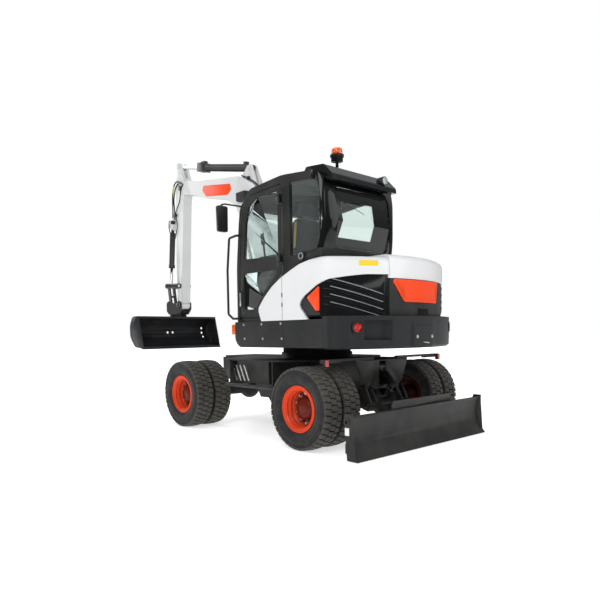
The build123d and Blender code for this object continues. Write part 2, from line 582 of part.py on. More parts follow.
def counterweight():
    """Cast counterweight round the tail: bay for the engine, step pocket, service cover and seats of two lamps."""
    outer = tail_block(TAIL_RADIUS, COUNTERWEIGHT_FRONT_X, HOUSE_HALF_WIDTH, COUNTERWEIGHT_BOTTOM_Z,
                       COUNTERWEIGHT_TOP_Z, 110.0)
    rim = [edge for edge in outer.edges() if edge.center().Z < COUNTERWEIGHT_BOTTOM_Z + 1
           and edge.center().X < COUNTERWEIGHT_FRONT_X - 1]
    outer = outer.chamfer(22.0, None, rim)
    bay = block((-1340, COUNTERWEIGHT_FRONT_X + 1), (-420, 420), (COUNTERWEIGHT_BOTTOM_Z + 90,
                                                              COUNTERWEIGHT_TOP_Z + 1))
    pocket = (block((-1600, -1330), (430, 712), (1096, 1286))
              & tail_ring(TAIL_RADIUS - POCKET_DEPTH, TAIL_RADIUS + 5, 1000, 1300)).solids()[0]
    seats = [tail_bar(angle, TAIL_RADIUS - LAMP_RADIUS, TAIL_RADIUS + 40, LAMP_RADIUS)
             for angle in (LAMP_ANGLE, -LAMP_ANGLE)]
    cover = (block((-1700, -1380), (-206, 178), (1030, 1232))
             & tail_ring(TAIL_RADIUS - 5, TAIL_RADIUS + 5, 1000, 1300)).solids()[0]
    return join(cut(outer, bay, pocket, *seats), cover)


def tail_bar(angle, near, far, radius):
    """Round bar that points outwards at an angle round the tail, between two distances from the slewing axis."""
    way = Vector(-math.cos(math.radians(angle)), math.sin(math.radians(angle)), 0)
    foot = way * near
    tip = way * far
    return bar((foot.X, foot.Y, LAMP_Z), (tip.X, tip.Y, LAMP_Z), radius)


def tail_lamps():
    """Round red lamps let into the counterweight."""
    seat = TAIL_RADIUS - LAMP_RADIUS + FACE_GAP
    return group(*[tail_bar(angle, seat, TAIL_RADIUS + 4, LAMP_RADIUS - FACE_GAP)
                   for angle in (LAMP_ANGLE, -LAMP_ANGLE)])


def engine():
    """Engine as one plain block at its real place and size."""
    return block((-1060, ENGINE_FRONT_X), (-420, 380), (SKIRT_BOTTOM_Z + 10 + HOUSE_PLATE + FACE_GAP, 1600))


def shell(low, high, wall, recess=0.0):
    """Upper body between two heights, set back by a recess and hollowed to a wall."""
    radius = HOOD_RADIUS - recess
    half = HOUSE_HALF_WIDTH - recess
    outer = tail_block(radius, HOUSE_FRONT_X, half, low, high, CORNER_RADIUS, CROWN_RADIUS)
    inner = tail_block(radius - wall, HOUSE_FRONT_X + 1, half - wall, low - 1, high - wall, CORNER_RADIUS - wall,
                       CROWN_RADIUS - wall)
    return cut(outer, inner)


# Lower edge of the white panel and its upper sweep below the cab, in the side view from front to rear
WHITE_EDGE = [(-600, COUNTERWEIGHT_TOP_Z + 6), (-878, COUNTERWEIGHT_TOP_Z + 6), (-742, 1460, 60), (-843, 1545),
              (-1000, 1630), (-1160, 1690), (-1330, 1730), (-1700, 1748)]
SWEEP = [(-150, SKIRT_TOP_Z + FACE_GAP), (-96, 1436, 60), (-200, 1550), (-330, 1655), (-475, 1739), (-620, 1800),
         (-760, 1852), (-900, 1886), (-1040, 1905), (-1700, 1905)]
# Side profile and shoulder of the body on the right: how far each corner goes in with the wall, and its rounding
RIGHT_TOP = [((HOUSE_FRONT_X - 32, SKIRT_TOP_Z + FACE_GAP), (-1, -0.1)), ((HOUSE_FRONT_X - 32, 1500), (-1, -1)),
             ((HOUSE_FRONT_X - 60, 1600, 80), (-1, -1)), ((-300, 1840, 400), (0, -1)),
             ((-1000, HOOD_TOP_Z, 300), (0, -1)), ((-1700, HOOD_TOP_Z), (0, -1)),
             ((-1700, SKIRT_TOP_Z + FACE_GAP), (0, -0.1))]
SHOULDER = [((-HOUSE_HALF_WIDTH, SKIRT_TOP_Z - 100), (1, 0)), ((-HOUSE_HALF_WIDTH, 1700, 80), (1, -0.5)),
            ((-890, 1835, 150), (1, -0.6)), ((-650, HOOD_TOP_Z, 300), (1, -1)), ((1000, HOOD_TOP_Z), (0, -1)),
            ((1000, SKIRT_TOP_Z - 100), (0, 0))]
DARK_ZONE = [(-880, COUNTERWEIGHT_TOP_Z + 1)] + WHITE_EDGE[2:] + [(-1700, COUNTERWEIGHT_TOP_Z + 1)]


def stepped_in(corners, wall):
    """Outline whose corners are moved inwards by a wall, each its own way."""
    return [(corner[0] + way[0] * wall, corner[1] + way[1] * wall, *corner[2:]) for corner, way in corners]


def right_form(wall):
    """Solid form of the upper body on the right, moved inwards by a wall but open below."""
    plan = tail_block(HOOD_RADIUS - wall, HOUSE_FRONT_X - wall, HOUSE_HALF_WIDTH - wall, SKIRT_TOP_Z - 50,
                      HOOD_TOP_Z - wall, CORNER_RADIUS - wall, CROWN_RADIUS - wall)
    side = slab("side", stepped_in(RIGHT_TOP, wall), -1000, 1000)
    shoulder = slab("end", stepped_in(SHOULDER, wall), -1700, HOUSE_FRONT_X)
    return (plan & side & shoulder).solids()[0]


def body_sides():
    """White upper body left and right of the rear hood, with the sweep below the cab and the rounded shoulder."""
    hollow = shell(SKIRT_TOP_Z + FACE_GAP, HOOD_TOP_Z - 30, PANEL)
    white = slab("side", SWEEP + [(-1700, 1748)] + list(reversed(WHITE_EDGE))[1:-2]
                 + [(-878, SKIRT_TOP_Z + FACE_GAP)], -1000, 1000)
    left_zone = block((-1700, 400), (HOOD_LEFT_Y + LID_GAP, 1000), (1200, 2000))
    left = [piece & white & left_zone for piece in hollow.solids()]
    right_zone = block((-1700, 400), (-1000, HOOD_RIGHT_Y - LID_GAP), (1200, 2000))
    front_zone = block((HOOD_FRONT_X + LID_GAP, 400), (-1000, CAB_RIGHT_Y - 12), (1200, 2000))
    zones = join(right_zone, front_zone).solids()[0]
    dark = slab("side", [(u, SKIRT_TOP_Z - 10, *more) if v < COUNTERWEIGHT_TOP_Z + 2 else (u, v, *more)
                         for u, v, *more in DARK_ZONE], -1000, HOOD_RIGHT_Y)
    right = [piece & zones for piece in cut(right_form(0), right_form(PANEL), dark).solids()]
    return group(*left, join(*right, *hood_hinge_lugs()))


def hood_hinge_lugs():
    """Straps on the fixed roof with the outer barrels and the pins of the hood's hinges."""
    axis = (HOOD_FRONT_X + LID_GAP / 2, HOOD_TOP_Z + HOOD_HINGE_RADIUS + FACE_GAP)
    shapes = []
    for middle in HOOD_HINGE_Y:
        for side in (-1, 1):
            ends = sorted((middle + side * (HOOD_HINGE_LENGTH / 2 + FACE_GAP), middle + side * HOOD_HINGE_LENGTH))
            shapes.append(cross_bar(axis, *ends, HOOD_HINGE_RADIUS))
            shapes.append(block((axis[0], axis[0] + 50), ends, (axis[1] - 6, axis[1] - 2)))
            shapes.append(block((axis[0] + 20, axis[0] + 50), ends, (HOOD_TOP_Z - 8, axis[1] - 2)))
        shapes.append(cross_bar(axis, middle - HOOD_HINGE_LENGTH, middle + HOOD_HINGE_LENGTH, HOOD_HINGE_PIN))
    return shapes


def hood_hinge_barrels():
    """Straps on the lid with the middle barrels of its hinges."""
    axis = (HOOD_FRONT_X + LID_GAP / 2, HOOD_TOP_Z + HOOD_HINGE_RADIUS + FACE_GAP)
    shapes, bores = [], []
    for middle in HOOD_HINGE_Y:
        ends = (middle - HOOD_HINGE_LENGTH / 2, middle + HOOD_HINGE_LENGTH / 2)
        shapes.append(cross_bar(axis, *ends, HOOD_HINGE_RADIUS))
        shapes.append(block((axis[0] - 50, axis[0]), ends, (axis[1] - 6, axis[1] - 2)))
        shapes.append(block((axis[0] - 50, axis[0] - 20), ends, (HOOD_TOP_Z - 8, axis[1] - 2)))
        bores.append(cross_bar(axis, ends[0] - 1, ends[1] + 1, HOOD_HINGE_PIN + RUNNING_FIT))
    return shapes, bores


def hood_lid():
    """Rear hood between its side gaps: white top above the dark panel."""
    zone = block((-1700, HOOD_FRONT_X), (HOOD_RIGHT_Y, HOOD_LEFT_Y), (1200, 2000))
    lid = [piece & zone for piece in shell(COUNTERWEIGHT_TOP_Z + LID_GAP, HOOD_TOP_Z, PANEL).solids()]
    top = join(*[piece & block((-1700, 0), (-1000, 1000), (HOOD_SPLIT_Z, 2000)) for piece in lid])
    panel = join(*[piece & block((-1700, 0), (-1000, 1000), (1200, HOOD_SPLIT_Z)) for piece in lid])
    barrels, bores = hood_hinge_barrels()
    return cut(join(top, *barrels), *bores), panel


def tail_ring(inner, outer, low, high):
    """Ring round the slewing axis."""
    return cut(upright(0, 0, low, high, outer), upright(0, 0, low - 1, high + 1, inner))


def hood_badge():
    """Raised panel with a rim on the rear hood, seen as a trapezium from behind."""
    form = [(HOOD_LEFT_Y - 20, 1692, 20), (200, 1470, 30), (-400, 1470, 30), (-440, 1692, 20)]
    face = [(HOOD_LEFT_Y - 66, 1692 - BADGE_RIM, 20), (200 - 6, 1470 + BADGE_RIM, 20),
            (-400 + 18, 1470 + BADGE_RIM, 20), (-440 + 28, 1692 - BADGE_RIM, 20)]
    seat = HOOD_RADIUS + FACE_GAP
    plate = tail_ring(seat, seat + BADGE_RISE, 1460, 1700).solids()[0] & slab("end", form, -1600, -1200)
    sunk = tail_ring(seat + BADGE_RISE / 2, seat + BADGE_RISE + 1, 1460, 1700)
    return cut(plate, sunk.solids()[0] & slab("end", face, -1600, -1200))


def grilles():
    """Corner panels of the engine bay, set back, with raised slats that fall towards the rear."""
    low, high = COUNTERWEIGHT_TOP_Z + 1, HOOD_TOP_Z - CROWN_RADIUS
    panel = shell(low, high + CROWN_RADIUS, PANEL, GRILLE_RECESS)
    raised = shell(low, high + CROWN_RADIUS, PANEL, GRILLE_RECESS - SLAT_RISE)
    dark = slab("side", DARK_ZONE, -1000, 1000)
    bands = []
    for top in SLAT_TOPS:
        bands.append(slab("end", [(HOUSE_HALF_WIDTH + 10, top + 20), (HOOD_LEFT_Y + 60, top - SLAT_DROP),
                                  (HOOD_LEFT_Y + 60, top - SLAT_DROP - SLAT_HEIGHT),
                                  (HOUSE_HALF_WIDTH + 10, top + 20 - SLAT_HEIGHT)], -1700, -1092))
    left_zone = block((-1700, -600), (HOOD_LEFT_Y + LID_GAP, 1000), (1200, 2000))
    slats = []
    for band in bands:
        slats += [piece & dark & left_zone & band for piece in raised.solids()]
    left = join(*[piece & dark & left_zone for piece in panel.solids()], *slats)
    right_zone = block((-1700, -600), (-1000, HOOD_RIGHT_Y - LID_GAP), (1200, 2000))
    mirrored_slats = [piece & right_zone for slat in slats for piece in mirrored(slat).solids()]
    right = join(*[piece & dark & right_zone for piece in panel.solids()], *mirrored_slats)
    return group(left, right)


def accent_panels():
    """Bevelled orange panels between the white sweep and the slats."""
    face = HOUSE_HALF_WIDTH - GRILLE_RECESS + FACE_GAP
    plate = slab("side", [(-862, 1522, 12), (-1040, 1628, 12), (-1040, 1385, 12), (-985, 1385, 12)], face,
                 face + ACCENT_THICKNESS)
    outer = [edge for edge in plate.edges() if edge.center().Y > face + ACCENT_THICKNESS - 0.1]
    return both_sides(plate.chamfer(ACCENT_THICKNESS * 0.6, None, outer))


CAB_SIDE = [(330, SKIRT_TOP_Z + FACE_GAP), (318, 1900), (262, 2400), (235, 2560, 120), (60, 2745, 160), (-480, 2785, 900),
            (-1000, 2735, 90), (-1062, 2520), (-1090, 2280), (-1015, 1910, 30), (-760, 1868), (-475, 1755),
            (-215, 1580), (-120, 1450, 50), (-165, SKIRT_TOP_Z + FACE_GAP)]


def inset(corners, wall, middle):
    """Outline moved inwards by a wall, towards its middle on each axis."""
    moved = []
    for corner in corners:
        u = corner[0] - math.copysign(wall, corner[0] - middle[0])
        v = corner[1] - math.copysign(wall, corner[1] - middle[1])
        moved.append((u, v, max(corner[2] - wall / 2, 5)) if len(corner) == 3 else (u, v))
    return moved


def cab_form(wall):
    """Solid cab form, moved inwards by a wall."""
    side = slab("side", inset(CAB_SIDE, wall, (-300, 1990)) if wall else CAB_SIDE, -1000, 1000)
    plan = slab("plan", [(-1100 + wall, CAB_RIGHT_Y + wall, 110 - wall), (360 - wall, CAB_RIGHT_Y + wall, 60),
                         (360 - wall, CAB_LEFT_Y - wall, 60), (-1100 + wall, CAB_LEFT_Y - wall, 200 - wall)],
                SKIRT_TOP_Z, 2900)
    return (side & plan).solids()[0]


DOOR_OUTLINE = [(270, 1345, 40), (262, 1900), (215, 2380), (185, 2540, 90), (60, 2680, 90), (-470, 2705, 30),
                (-470, 1790), (-250, 1640), (-85, 1470, 60), (-85, 1345, 30)]
SIDE_WINDOW = [(-600, 2690, 20), (-985, 2655, 60), (-1040, 2300, 200), (-985, 1990, 50), (-600, 1950, 20)]
REAR_WINDOW = [(-60, 2010, 50), (740, 2010, 60), (740, 2600, 60), (-60, 2600, 60)]
FRONT_WINDOW = [(-70, 1380, 40), (860, 1380, 40), (860, 2560, 60), (-70, 2560, 60)]
RIGHT_WINDOW = [(220, 1980, 40), (180, 2540, 60), (-940, 2620, 60), (-960, 2040, 60)]


def cab():
    """Hollow cab with its door opening and windows cut, and its fixed panes."""
    walls = cut(cab_form(0), cab_form(CAB_WALL))
    door = slab("side", DOOR_OUTLINE, CAB_LEFT_Y - 60, 1000)
    side = slab("side", SIDE_WINDOW, CAB_LEFT_Y - 130, 1000)
    rear = slab("end", REAR_WINDOW, -1200, -900)
    front = slab("end", FRONT_WINDOW, 100, 420)
    right = slab("side", RIGHT_WINDOW, -300, CAB_RIGHT_Y + 80)
    riser = (block((-470, -20), (140, 900), (SKIRT_TOP_Z + 20, SEAT_FLOOR_Z)) & cab_form(CAB_WALL - 1)).solids()[0]
    frame = join(cut(walls, door, side, rear, front, right), riser, *door_hinge_lugs())
    skin = cut(cab_form(18.0), cab_form(18.0 + GLASS))
    panes = []
    for tool in (side, rear, front, right):
        panes += [piece & tool for piece in skin.solids()]
    return frame, group(*panes)


def door_hinge_lugs():
    """Lugs on the door pillar, above and below each of the door's hinge barrels, with their pins."""
    y = CAB_LEFT_Y + DOOR_HINGE_STANDOFF
    rear = DOOR_HINGE_X - 43
    shapes = []
    for z in DOOR_HINGE_Z:
        top = z + DOOR_HINGE_HEIGHT
        for low, high in ((z - HINGE_LUG, z - FACE_GAP), (top + FACE_GAP, top + HINGE_LUG)):
            shapes.append(block((rear, DOOR_HINGE_X - DOOR_HINGE_RADIUS), (CAB_LEFT_Y - 10, y), (low, high)))
            shapes.append(block((rear, DOOR_HINGE_X), (y - DOOR_HINGE_RADIUS, y + DOOR_HINGE_RADIUS), (low, high)))
            shapes.append(upright(DOOR_HINGE_X, y, low, high, DOOR_HINGE_RADIUS))
        shapes.append(upright(DOOR_HINGE_X, y, z - HINGE_LUG, top + HINGE_LUG, DOOR_HINGE_PIN))
    return shapes


def door():
    """Cab door with its two panes."""
    low, high = CAB_LEFT_Y - 42, CAB_LEFT_Y - 2
    gap = 6.0
    outer = inset(DOOR_OUTLINE, gap, (-20, 2000))
    upper = [(180, 2000, 20), (150, 2380), (70, 2560, 80), (-60, 2630, 40), (-410, 2640, 30), (-410, 1975, 20)]
    lower = [(190, 1840, 30), (-385, 1840, 30), (-385, 1800), (-170, 1620), (-20, 1440, 30), (180, 1440, 40)]
    frame = cut(slab("side", outer, low, high), slab("side", upper, low - 1, high + 1),
                slab("side", lower, low - 1, high + 1))
    y = CAB_LEFT_Y + DOOR_HINGE_STANDOFF
    hinge = [upright(DOOR_HINGE_X, y, z, z + DOOR_HINGE_HEIGHT, DOOR_HINGE_RADIUS) for z in DOOR_HINGE_Z]
    straps = [block((DOOR_HINGE_X, DOOR_REAR_X + 60), (high - 8, y + 6), (z + 15, z + DOOR_HINGE_HEIGHT - 15))
              for z in DOOR_HINGE_Z]
    pin_ways = [upright(DOOR_HINGE_X, y, z - 1, z + DOOR_HINGE_HEIGHT + 1, DOOR_HINGE_PIN + RUNNING_FIT)
                for z in DOOR_HINGE_Z]
    handle = block((215, 245), (high - 5, high + 22), (1470, 1640))
    return cut(join(frame, *hinge, *straps, handle), *pin_ways), group(*[slab("side", shape, (low + high) / 2 - GLASS / 2,
                                                              (low + high) / 2 + GLASS / 2)
                                                         for shape in (upper, lower)])


def seat():
    """Driver's seat with its base, back and headrest."""
    y = (320.0, 760.0)
    base = block((-380, -30), (y[0] + 60, y[1] - 60), (SEAT_FLOOR_Z + FACE_GAP, 1800))
    cushion = slab("side", [(-400, 1800), (60, 1800, 30), (60, 1905, 40), (-400, 1880)], *y)
    back = slab("side", [(-420, 1860), (-300, 1880, 30), (-390, 2400, 60), (-510, 2400, 60), (-470, 1860)],
                y[0] + 20, y[1] - 20)
    head = slab("side", [(-410, 2390), (-422, 2550, 40), (-510, 2550, 40), (-500, 2390)], y[0] + 90, y[1] - 90)
    return join(base, cushion, back, head)


def controls():
    """Side consoles with levers, steering column with its wheel, and the raised floor under the seat."""
    floor = SKIRT_TOP_Z + CAB_WALL + 2 * FACE_GAP
    foot = block((150, 260), (480, 600), (floor, floor + 16))
    top = Plane(origin=STEERING_WHEEL, x_dir=(1, 0, 0.15), z_dir=(-0.15, 0, 1))
    column = join(foot, bar((205, 540, floor + 10), (STEERING_WHEEL[0] + 10, 540, STEERING_WHEEL[2] - 30), 34.0))
    grip = [polar((STEERING_WHEEL_RADIUS, 0), 14.0, 22.5 + 45 * index) for index in range(8)]
    ring = Solid.revolve(Face(Wire.make_polygon([Vector(u, 0, v) for u, v in grip], close=True)), 360, Axis.Z)
    spoke = block((20, STEERING_WHEEL_RADIUS - 8), (-11, 11), (-5, 5))
    spokes = [spoke.rotate(Axis.Z, angle) for angle in (0, 120, 240)]
    wheel = join(ring, upright(0, 0, -34, 12, 36.0), *spokes)
    wheel = wheel.moved(top.location)
    consoles = []
    for low, high in ((180, 300), (780, 880)):
        lever = (low + high) / 2
        consoles.append(join(block((-400, -30), (low, high), (SEAT_FLOOR_Z + FACE_GAP, 2010)),
                             bar((-60, lever, 2005), (-30, lever, 2190), 11.0),
                             bar((-34, lever, 2150), (-20, lever, 2250), 22.0)))
    return join(column, wheel), group(*consoles)


def cowl():
    """Glossy cowl over the rear edge of the cab roof."""
    form = slab("side", [(-700, 2740), (-760, 2822, 30), (-1010, 2800, 60), (-1120, 2690, 40), (-1125, 2640),
                         (-1060, 2640), (-1000, 2700), (-760, 2740)],
                CAB_RIGHT_Y + 40, CAB_LEFT_Y - 90)
    return cut(form, cab_form(0))


def cab_fittings():
    """Grab rail beside the door, from the upper pillar to the sill."""
    y = CAB_LEFT_Y + 40
    rail = pipe([(250, CAB_LEFT_Y - 40, 2270), (250, y, 2270), (395, y, 2255), (440, y, 1900), (440, y, 1400),
                 (350, y, 1345), (260, y, 1345), (260, CAB_LEFT_Y - 10, 1345)], 28.0, 13.0)
    return cut(rail, cab_form(0))


def mirror():
    """Rear-view mirror on its arm from the front pillar."""
    middle = sum(MIRROR) / 2
    housing = slab("end", [(MIRROR_Y[0], MIRROR_Z[0], 24), (MIRROR_Y[1] - 6, MIRROR_Z[0], 24),
                           (MIRROR_Y[1], MIRROR_Z[1], 24), (MIRROR_Y[0] - 4, MIRROR_Z[1], 24)], *MIRROR)
    front = [edge for edge in housing.edges() if edge.center().X > MIRROR[1] - 0.1]
    housing = housing.chamfer(18.0, None, front)
    head = MIRROR_Z[1] + 14
    arm = pipe([(205, CAB_LEFT_Y - 30, 2583), (205, CAB_LEFT_Y + 50, 2583), (middle - 60, MIRROR_Y[0] + 60, head),
                (middle, MIRROR_Y[0] + 70, head), (middle, MIRROR_Y[0] + 70, MIRROR_Z[1] - 40)], 18.0, 9.0)
    return cut(join(housing, arm), cab_form(0))


def swing_post():
    """Casting that swings the boom sideways: hub with its upright pin, ears for boom foot and cylinder."""
    low, high = SWING_LUGS[0][1] + FACE_GAP, SWING_LUGS[1][0] - FACE_GAP
    foot_x, foot_z = BOOM_FOOT
    pin_x, pin_z = BOOM_CYLINDER_FOOT
    face = SWING_X + 96
    hub = upright(SWING_X, BOOM_Y, low, high, 80.0)
    pin = upright(SWING_X, BOOM_Y, SWING_LUGS[0][0] - 12, SWING_LUGS[1][1] + 12, SWING_PIN_RADIUS)
    neck = block((SWING_X, face + 10), (BOOM_Y - 78, BOOM_Y + 78), (low + 6, high - 6))
    web = block((face, face + 60), (BOOM_Y - 145, BOOM_Y + 145), (1062, 1212))
    ear = join(slab("side", [(face, 1062), (face, 1240), (foot_x - 72, foot_z), (foot_x + 72, foot_z),
                             (pin_x + 40, pin_z + 40), (pin_x + 10, 1062)], 0, 30),
               cross_bar(BOOM_FOOT, 0, 30, 78.0))
    spread = BOOM_WIDTH / 2 + CHEEK_GAP
    ears = [ear.moved(Location((0, BOOM_Y + offset, 0))) for offset in (-spread - 30, spread)]
    inner = join(slab("side", [(face + 50, 1062), (face + 50, 1190), (pin_x - 20, pin_z + 55),
                               (pin_x + 20, pin_z - 57), (face + 90, 1062)], 0, 24),
                 cross_bar(BOOM_CYLINDER_FOOT, 0, 24, 58.0))
    gap = EYE_HALF + CHEEK_GAP
    inners = [inner.moved(Location((0, BOOM_Y + offset, 0))) for offset in (-gap - 24, gap)]
    boom_pin = cross_bar(BOOM_FOOT, BOOM_Y - spread - 42, BOOM_Y + spread + 42, PIN_RADIUS)
    cylinder_pin = cross_bar(BOOM_CYLINDER_FOOT, BOOM_Y - gap - 24, BOOM_Y + gap + 24, 22.0)
    return join(hub, pin, neck, web, *ears, *inners, boom_pin, cylinder_pin)


BOOM_OUTLINE = [(708, 1362), (860, 2450, 900), (985, 2940, 260), (1190, 3180, 200), (1496, 3345, 300),
                (1923, 3402), (2582, 3490), (2820, 3550), (3095, 3558), (3100, 3400), (2728, 3316),
                (2494, 3244), (1846, 3098), (1620, 2975, 200), (1370, 2600, 400), (1120, 2080), (890, 1342)]
def cheeks(corners, gap, thickness):
    """Pair of lug plates either side of the boom's plane."""
    plate = slab("side", corners, 0, thickness)
    return [plate.moved(Location((0, BOOM_Y + offset, 0))) for offset in (-gap - thickness, gap)]


def boom():
    """Bent box boom with its foot boss, fork for the arm and the lugs of three cylinders' eyes."""
    half = ARM_WIDTH / 2 + CHEEK_GAP + CHEEK
    body = slab("side", BOOM_OUTLINE, BOOM_Y - half, BOOM_Y + half)
    boss = cross_bar(BOOM_FOOT, BOOM_Y - BOOM_WIDTH / 2, BOOM_Y + BOOM_WIDTH / 2, 94.0)
    nose = cross_bar(ARM_PIVOT, BOOM_Y - half, BOOM_Y + half, 82.0)
    slot = block((FORK_DEPTH_X, 3300), (BOOM_Y - ARM_WIDTH / 2 - CHEEK_GAP, BOOM_Y + ARM_WIDTH / 2 + CHEEK_GAP),
                 (3000, 3900))
    bore = cross_bar(BOOM_FOOT, BOOM_Y - 200, BOOM_Y + 200, PIN_RADIUS + RUNNING_FIT)
    foot_x, foot_z = ARM_CYLINDER_FOOT
    eye_x, eye_z = BOOM_CYLINDER_EYE
    gap = EYE_HALF + CHEEK_GAP
    rear = cheeks([(foot_x - 190, foot_z - 300), (foot_x - 46, foot_z + 34, 30), (foot_x + 46, foot_z + 34, 30),
                   (foot_x + 190, foot_z - 115), (foot_x + 100, foot_z - 300)], gap, CHEEK)
    under = cheeks([(eye_x - 190, eye_z - 60), (eye_x - 40, eye_z - 62), (eye_x + 52, eye_z - 40, 20),
                    (eye_x + 52, eye_z + 40, 20), (eye_x - 70, eye_z + 190), (eye_x - 160, eye_z + 100)], gap, CHEEK)
    arm_pin = cross_bar(ARM_PIVOT, BOOM_Y - half - 12, BOOM_Y + half + 12, PIN_RADIUS)
    cylinder_pin = cross_bar(ARM_CYLINDER_FOOT, BOOM_Y - gap - CHEEK - 10, BOOM_Y + gap + CHEEK + 10, 22.0)
    return join(cut(join(body, boss, nose), slot, bore), *rear, *under, arm_pin, cylinder_pin)


ARM_OUTLINE = [(3150, 1690), (3098, 2350), (3022, 3290), (2968, 3440, 60), (2990, 3560), (3092, 3850),
               (3190, 3830), (3225, 3560), (3245, 3300), (3284, 2350), (3284, 1690)]


def arm():
    """Box arm with its pivot bore, the open top lugs for the cylinder's rod and the bucket cylinder's lugs."""
    half = ARM_WIDTH / 2
    body = slab("side", ARM_OUTLINE, BOOM_Y - half, BOOM_Y + half)
    hub = cross_bar(ARM_PIVOT, BOOM_Y - half, BOOM_Y + half, 92.0)
    eye = cross_bar(BUCKET_PIVOT, BOOM_Y - half, BOOM_Y + half, 62.0)
    top = cross_bar(ARM_CYLINDER_EYE, BOOM_Y - half, BOOM_Y + half, 56.0)
    gap = EYE_HALF + CHEEK_GAP
    slot = block((2900, 3300), (BOOM_Y - gap, BOOM_Y + gap), (ARM_CYLINDER_EYE[1] - 190, 4000))
    bore = cross_bar(ARM_PIVOT, BOOM_Y - 200, BOOM_Y + 200, PIN_RADIUS + RUNNING_FIT)
    foot_x, foot_z = BUCKET_CYLINDER_FOOT
    front = cheeks([(3225, foot_z + 190), (foot_x + 10, foot_z + 48, 30), (foot_x + 42, foot_z - 30, 30),
                    (foot_x - 60, foot_z - 60), (3235, foot_z - 160)], gap, CHEEK)
    caps = [cross_bar(ARM_CYLINDER_EYE, BOOM_Y + low, BOOM_Y + high, 30.0)
            for low, high in ((-half - 12, -half), (half, half + 12))]
    pins = [cross_bar(BUCKET_PIVOT, BOOM_Y - half - 40, BOOM_Y + half + 40, PIN_RADIUS),
            cross_bar(ROCKER_PIVOT, BOOM_Y - half - 32, BOOM_Y + half + 32, 22.0),
            cross_bar(BUCKET_CYLINDER_FOOT, BOOM_Y - gap - CHEEK - 8, BOOM_Y + gap + CHEEK + 8, 22.0)]
    return join(cut(join(body, hub, eye, top), slot, bore), *front, *caps, *pins)


def rocker():
    """Pair of rocker bars from the arm to the head of the link, with their short pins."""
    near = ARM_WIDTH / 2 + CHEEK_GAP
    bars = []
    for low in (BOOM_Y + near, BOOM_Y - near - 18):
        plate = beam(ROCKER_PIVOT, LINK_TOP, 40.0, 40.0, low, low + 18)
        bars.append(cut(plate, cross_bar(ROCKER_PIVOT, low - 1, low + 19, PIN_BORE)))
    gap = EYE_HALF + CHEEK_GAP
    pins = [cross_bar(LINK_TOP, BOOM_Y + gap, BOOM_Y + near + 26, 22.0),
            cross_bar(LINK_TOP, BOOM_Y - near - 26, BOOM_Y - gap, 22.0)]
    return join(*bars[:1], pins[0]), join(*bars[1:], pins[1])


def link():
    """Link from the rocker down to the coupler: two bars and their tie, with a closed eye below."""
    low, high = EYE_HALF + 6, EYE_HALF + 26
    bars = [beam(LINK_TOP, LINK_FOOT, 36.0, 36.0, BOOM_Y + a, BOOM_Y + b)
            for a, b in ((low, high), (-high, -low))]
    middle = ((LINK_TOP[0] + LINK_FOOT[0]) / 2, (LINK_TOP[1] + LINK_FOOT[1]) / 2 - 20)
    tie = cross_bar(middle, BOOM_Y - high, BOOM_Y + high, 16.0)
    foot = cross_bar(LINK_FOOT, BOOM_Y - ARM_WIDTH / 2, BOOM_Y + ARM_WIDTH / 2, 30.0)
    bore = cross_bar(LINK_TOP, BOOM_Y - 80, BOOM_Y + 80, PIN_BORE)
    return cut(join(*bars, tie, foot), bore)


def coupler():
    """Quick coupler between arm and bucket: two side plates with the arm's bore and the body between."""
    near = ARM_WIDTH / 2 + CHEEK_GAP
    b_x, b_z = BUCKET_PIVOT
    k_x, k_z = LINK_FOOT
    side = [(b_x - 62, b_z - 70), (b_x - 66, b_z + 30, 30), (b_x, b_z + 72, 30), (b_x + 76, b_z + 30),
            (k_x - 70, k_z + 20), (k_x, k_z + 62, 30), (k_x + 62, k_z + 20, 30), (k_x + 60, k_z - 110),
            (k_x - 10, k_z - 165), (b_x + 30, b_z - 150)]
    plates = [slab("side", side, BOOM_Y + near, BOOM_Y + near + CHEEK),
              slab("side", side, BOOM_Y - near - CHEEK, BOOM_Y - near)]
    body = block((b_x + 20, k_x - 30), (BOOM_Y - near - 1, BOOM_Y + near + 1), (b_z - COUPLER_BODY_DROP, b_z - 74))
    bore = cross_bar(BUCKET_PIVOT, BOOM_Y - 200, BOOM_Y + 200, PIN_RADIUS + RUNNING_FIT)
    return cut(join(*plates, body), bore)


BUCKET_SECTION = [(3400, 1475), (3610, 1475, 120), (3705, 1330, 120), (3705, 1150, 140), (3560, 985, 150), (3262, 960)]


def bucket():
    """Wide ditching bucket: curved shell, end plates, cutting edge, drain holes and the hitch ears."""
    low, high = BOOM_Y - BUCKET_WIDTH / 2, BOOM_Y + BUCKET_WIDTH / 2
    outer = slab("side", BUCKET_SECTION, low, high)
    hollow = [(3100, 1475 - BUCKET_PLATE)] + inset(BUCKET_SECTION[1:5], BUCKET_PLATE, (3300, 1230)) + [(3100, 974)]
    inner = slab("side", hollow, low + BUCKET_PLATE, high - BUCKET_PLATE)
    edge = slab("side", [(3228, 952), (3330, 952), (3330, 968), (3262, 968)], low, high)
    stiffener = slab("side", [(3396, 1475), (3396, 1440), (3440, 1440), (3440, 1475)], low, high)
    holes = [bar((3500, y, z), (3800, y, z), 20.0) for y, z in
             ((BOOM_Y - 48, 1215), (BOOM_Y + 48, 1215), (low + 100, 1285), (low + 95, 1205), (low + 82, 1135),
              (high - 100, 1285), (high - 95, 1205), (high - 82, 1135))]
    ear_top = BUCKET_PIVOT[1] - COUPLER_BODY_DROP - FACE_GAP
    ears = cheeks([(3260, 1470), (3270, ear_top), (3540, ear_top), (3580, 1470)], 44.0, 24.0)
    return join(cut(join(cut(outer, inner), edge, stiffener), *holes), *ears)


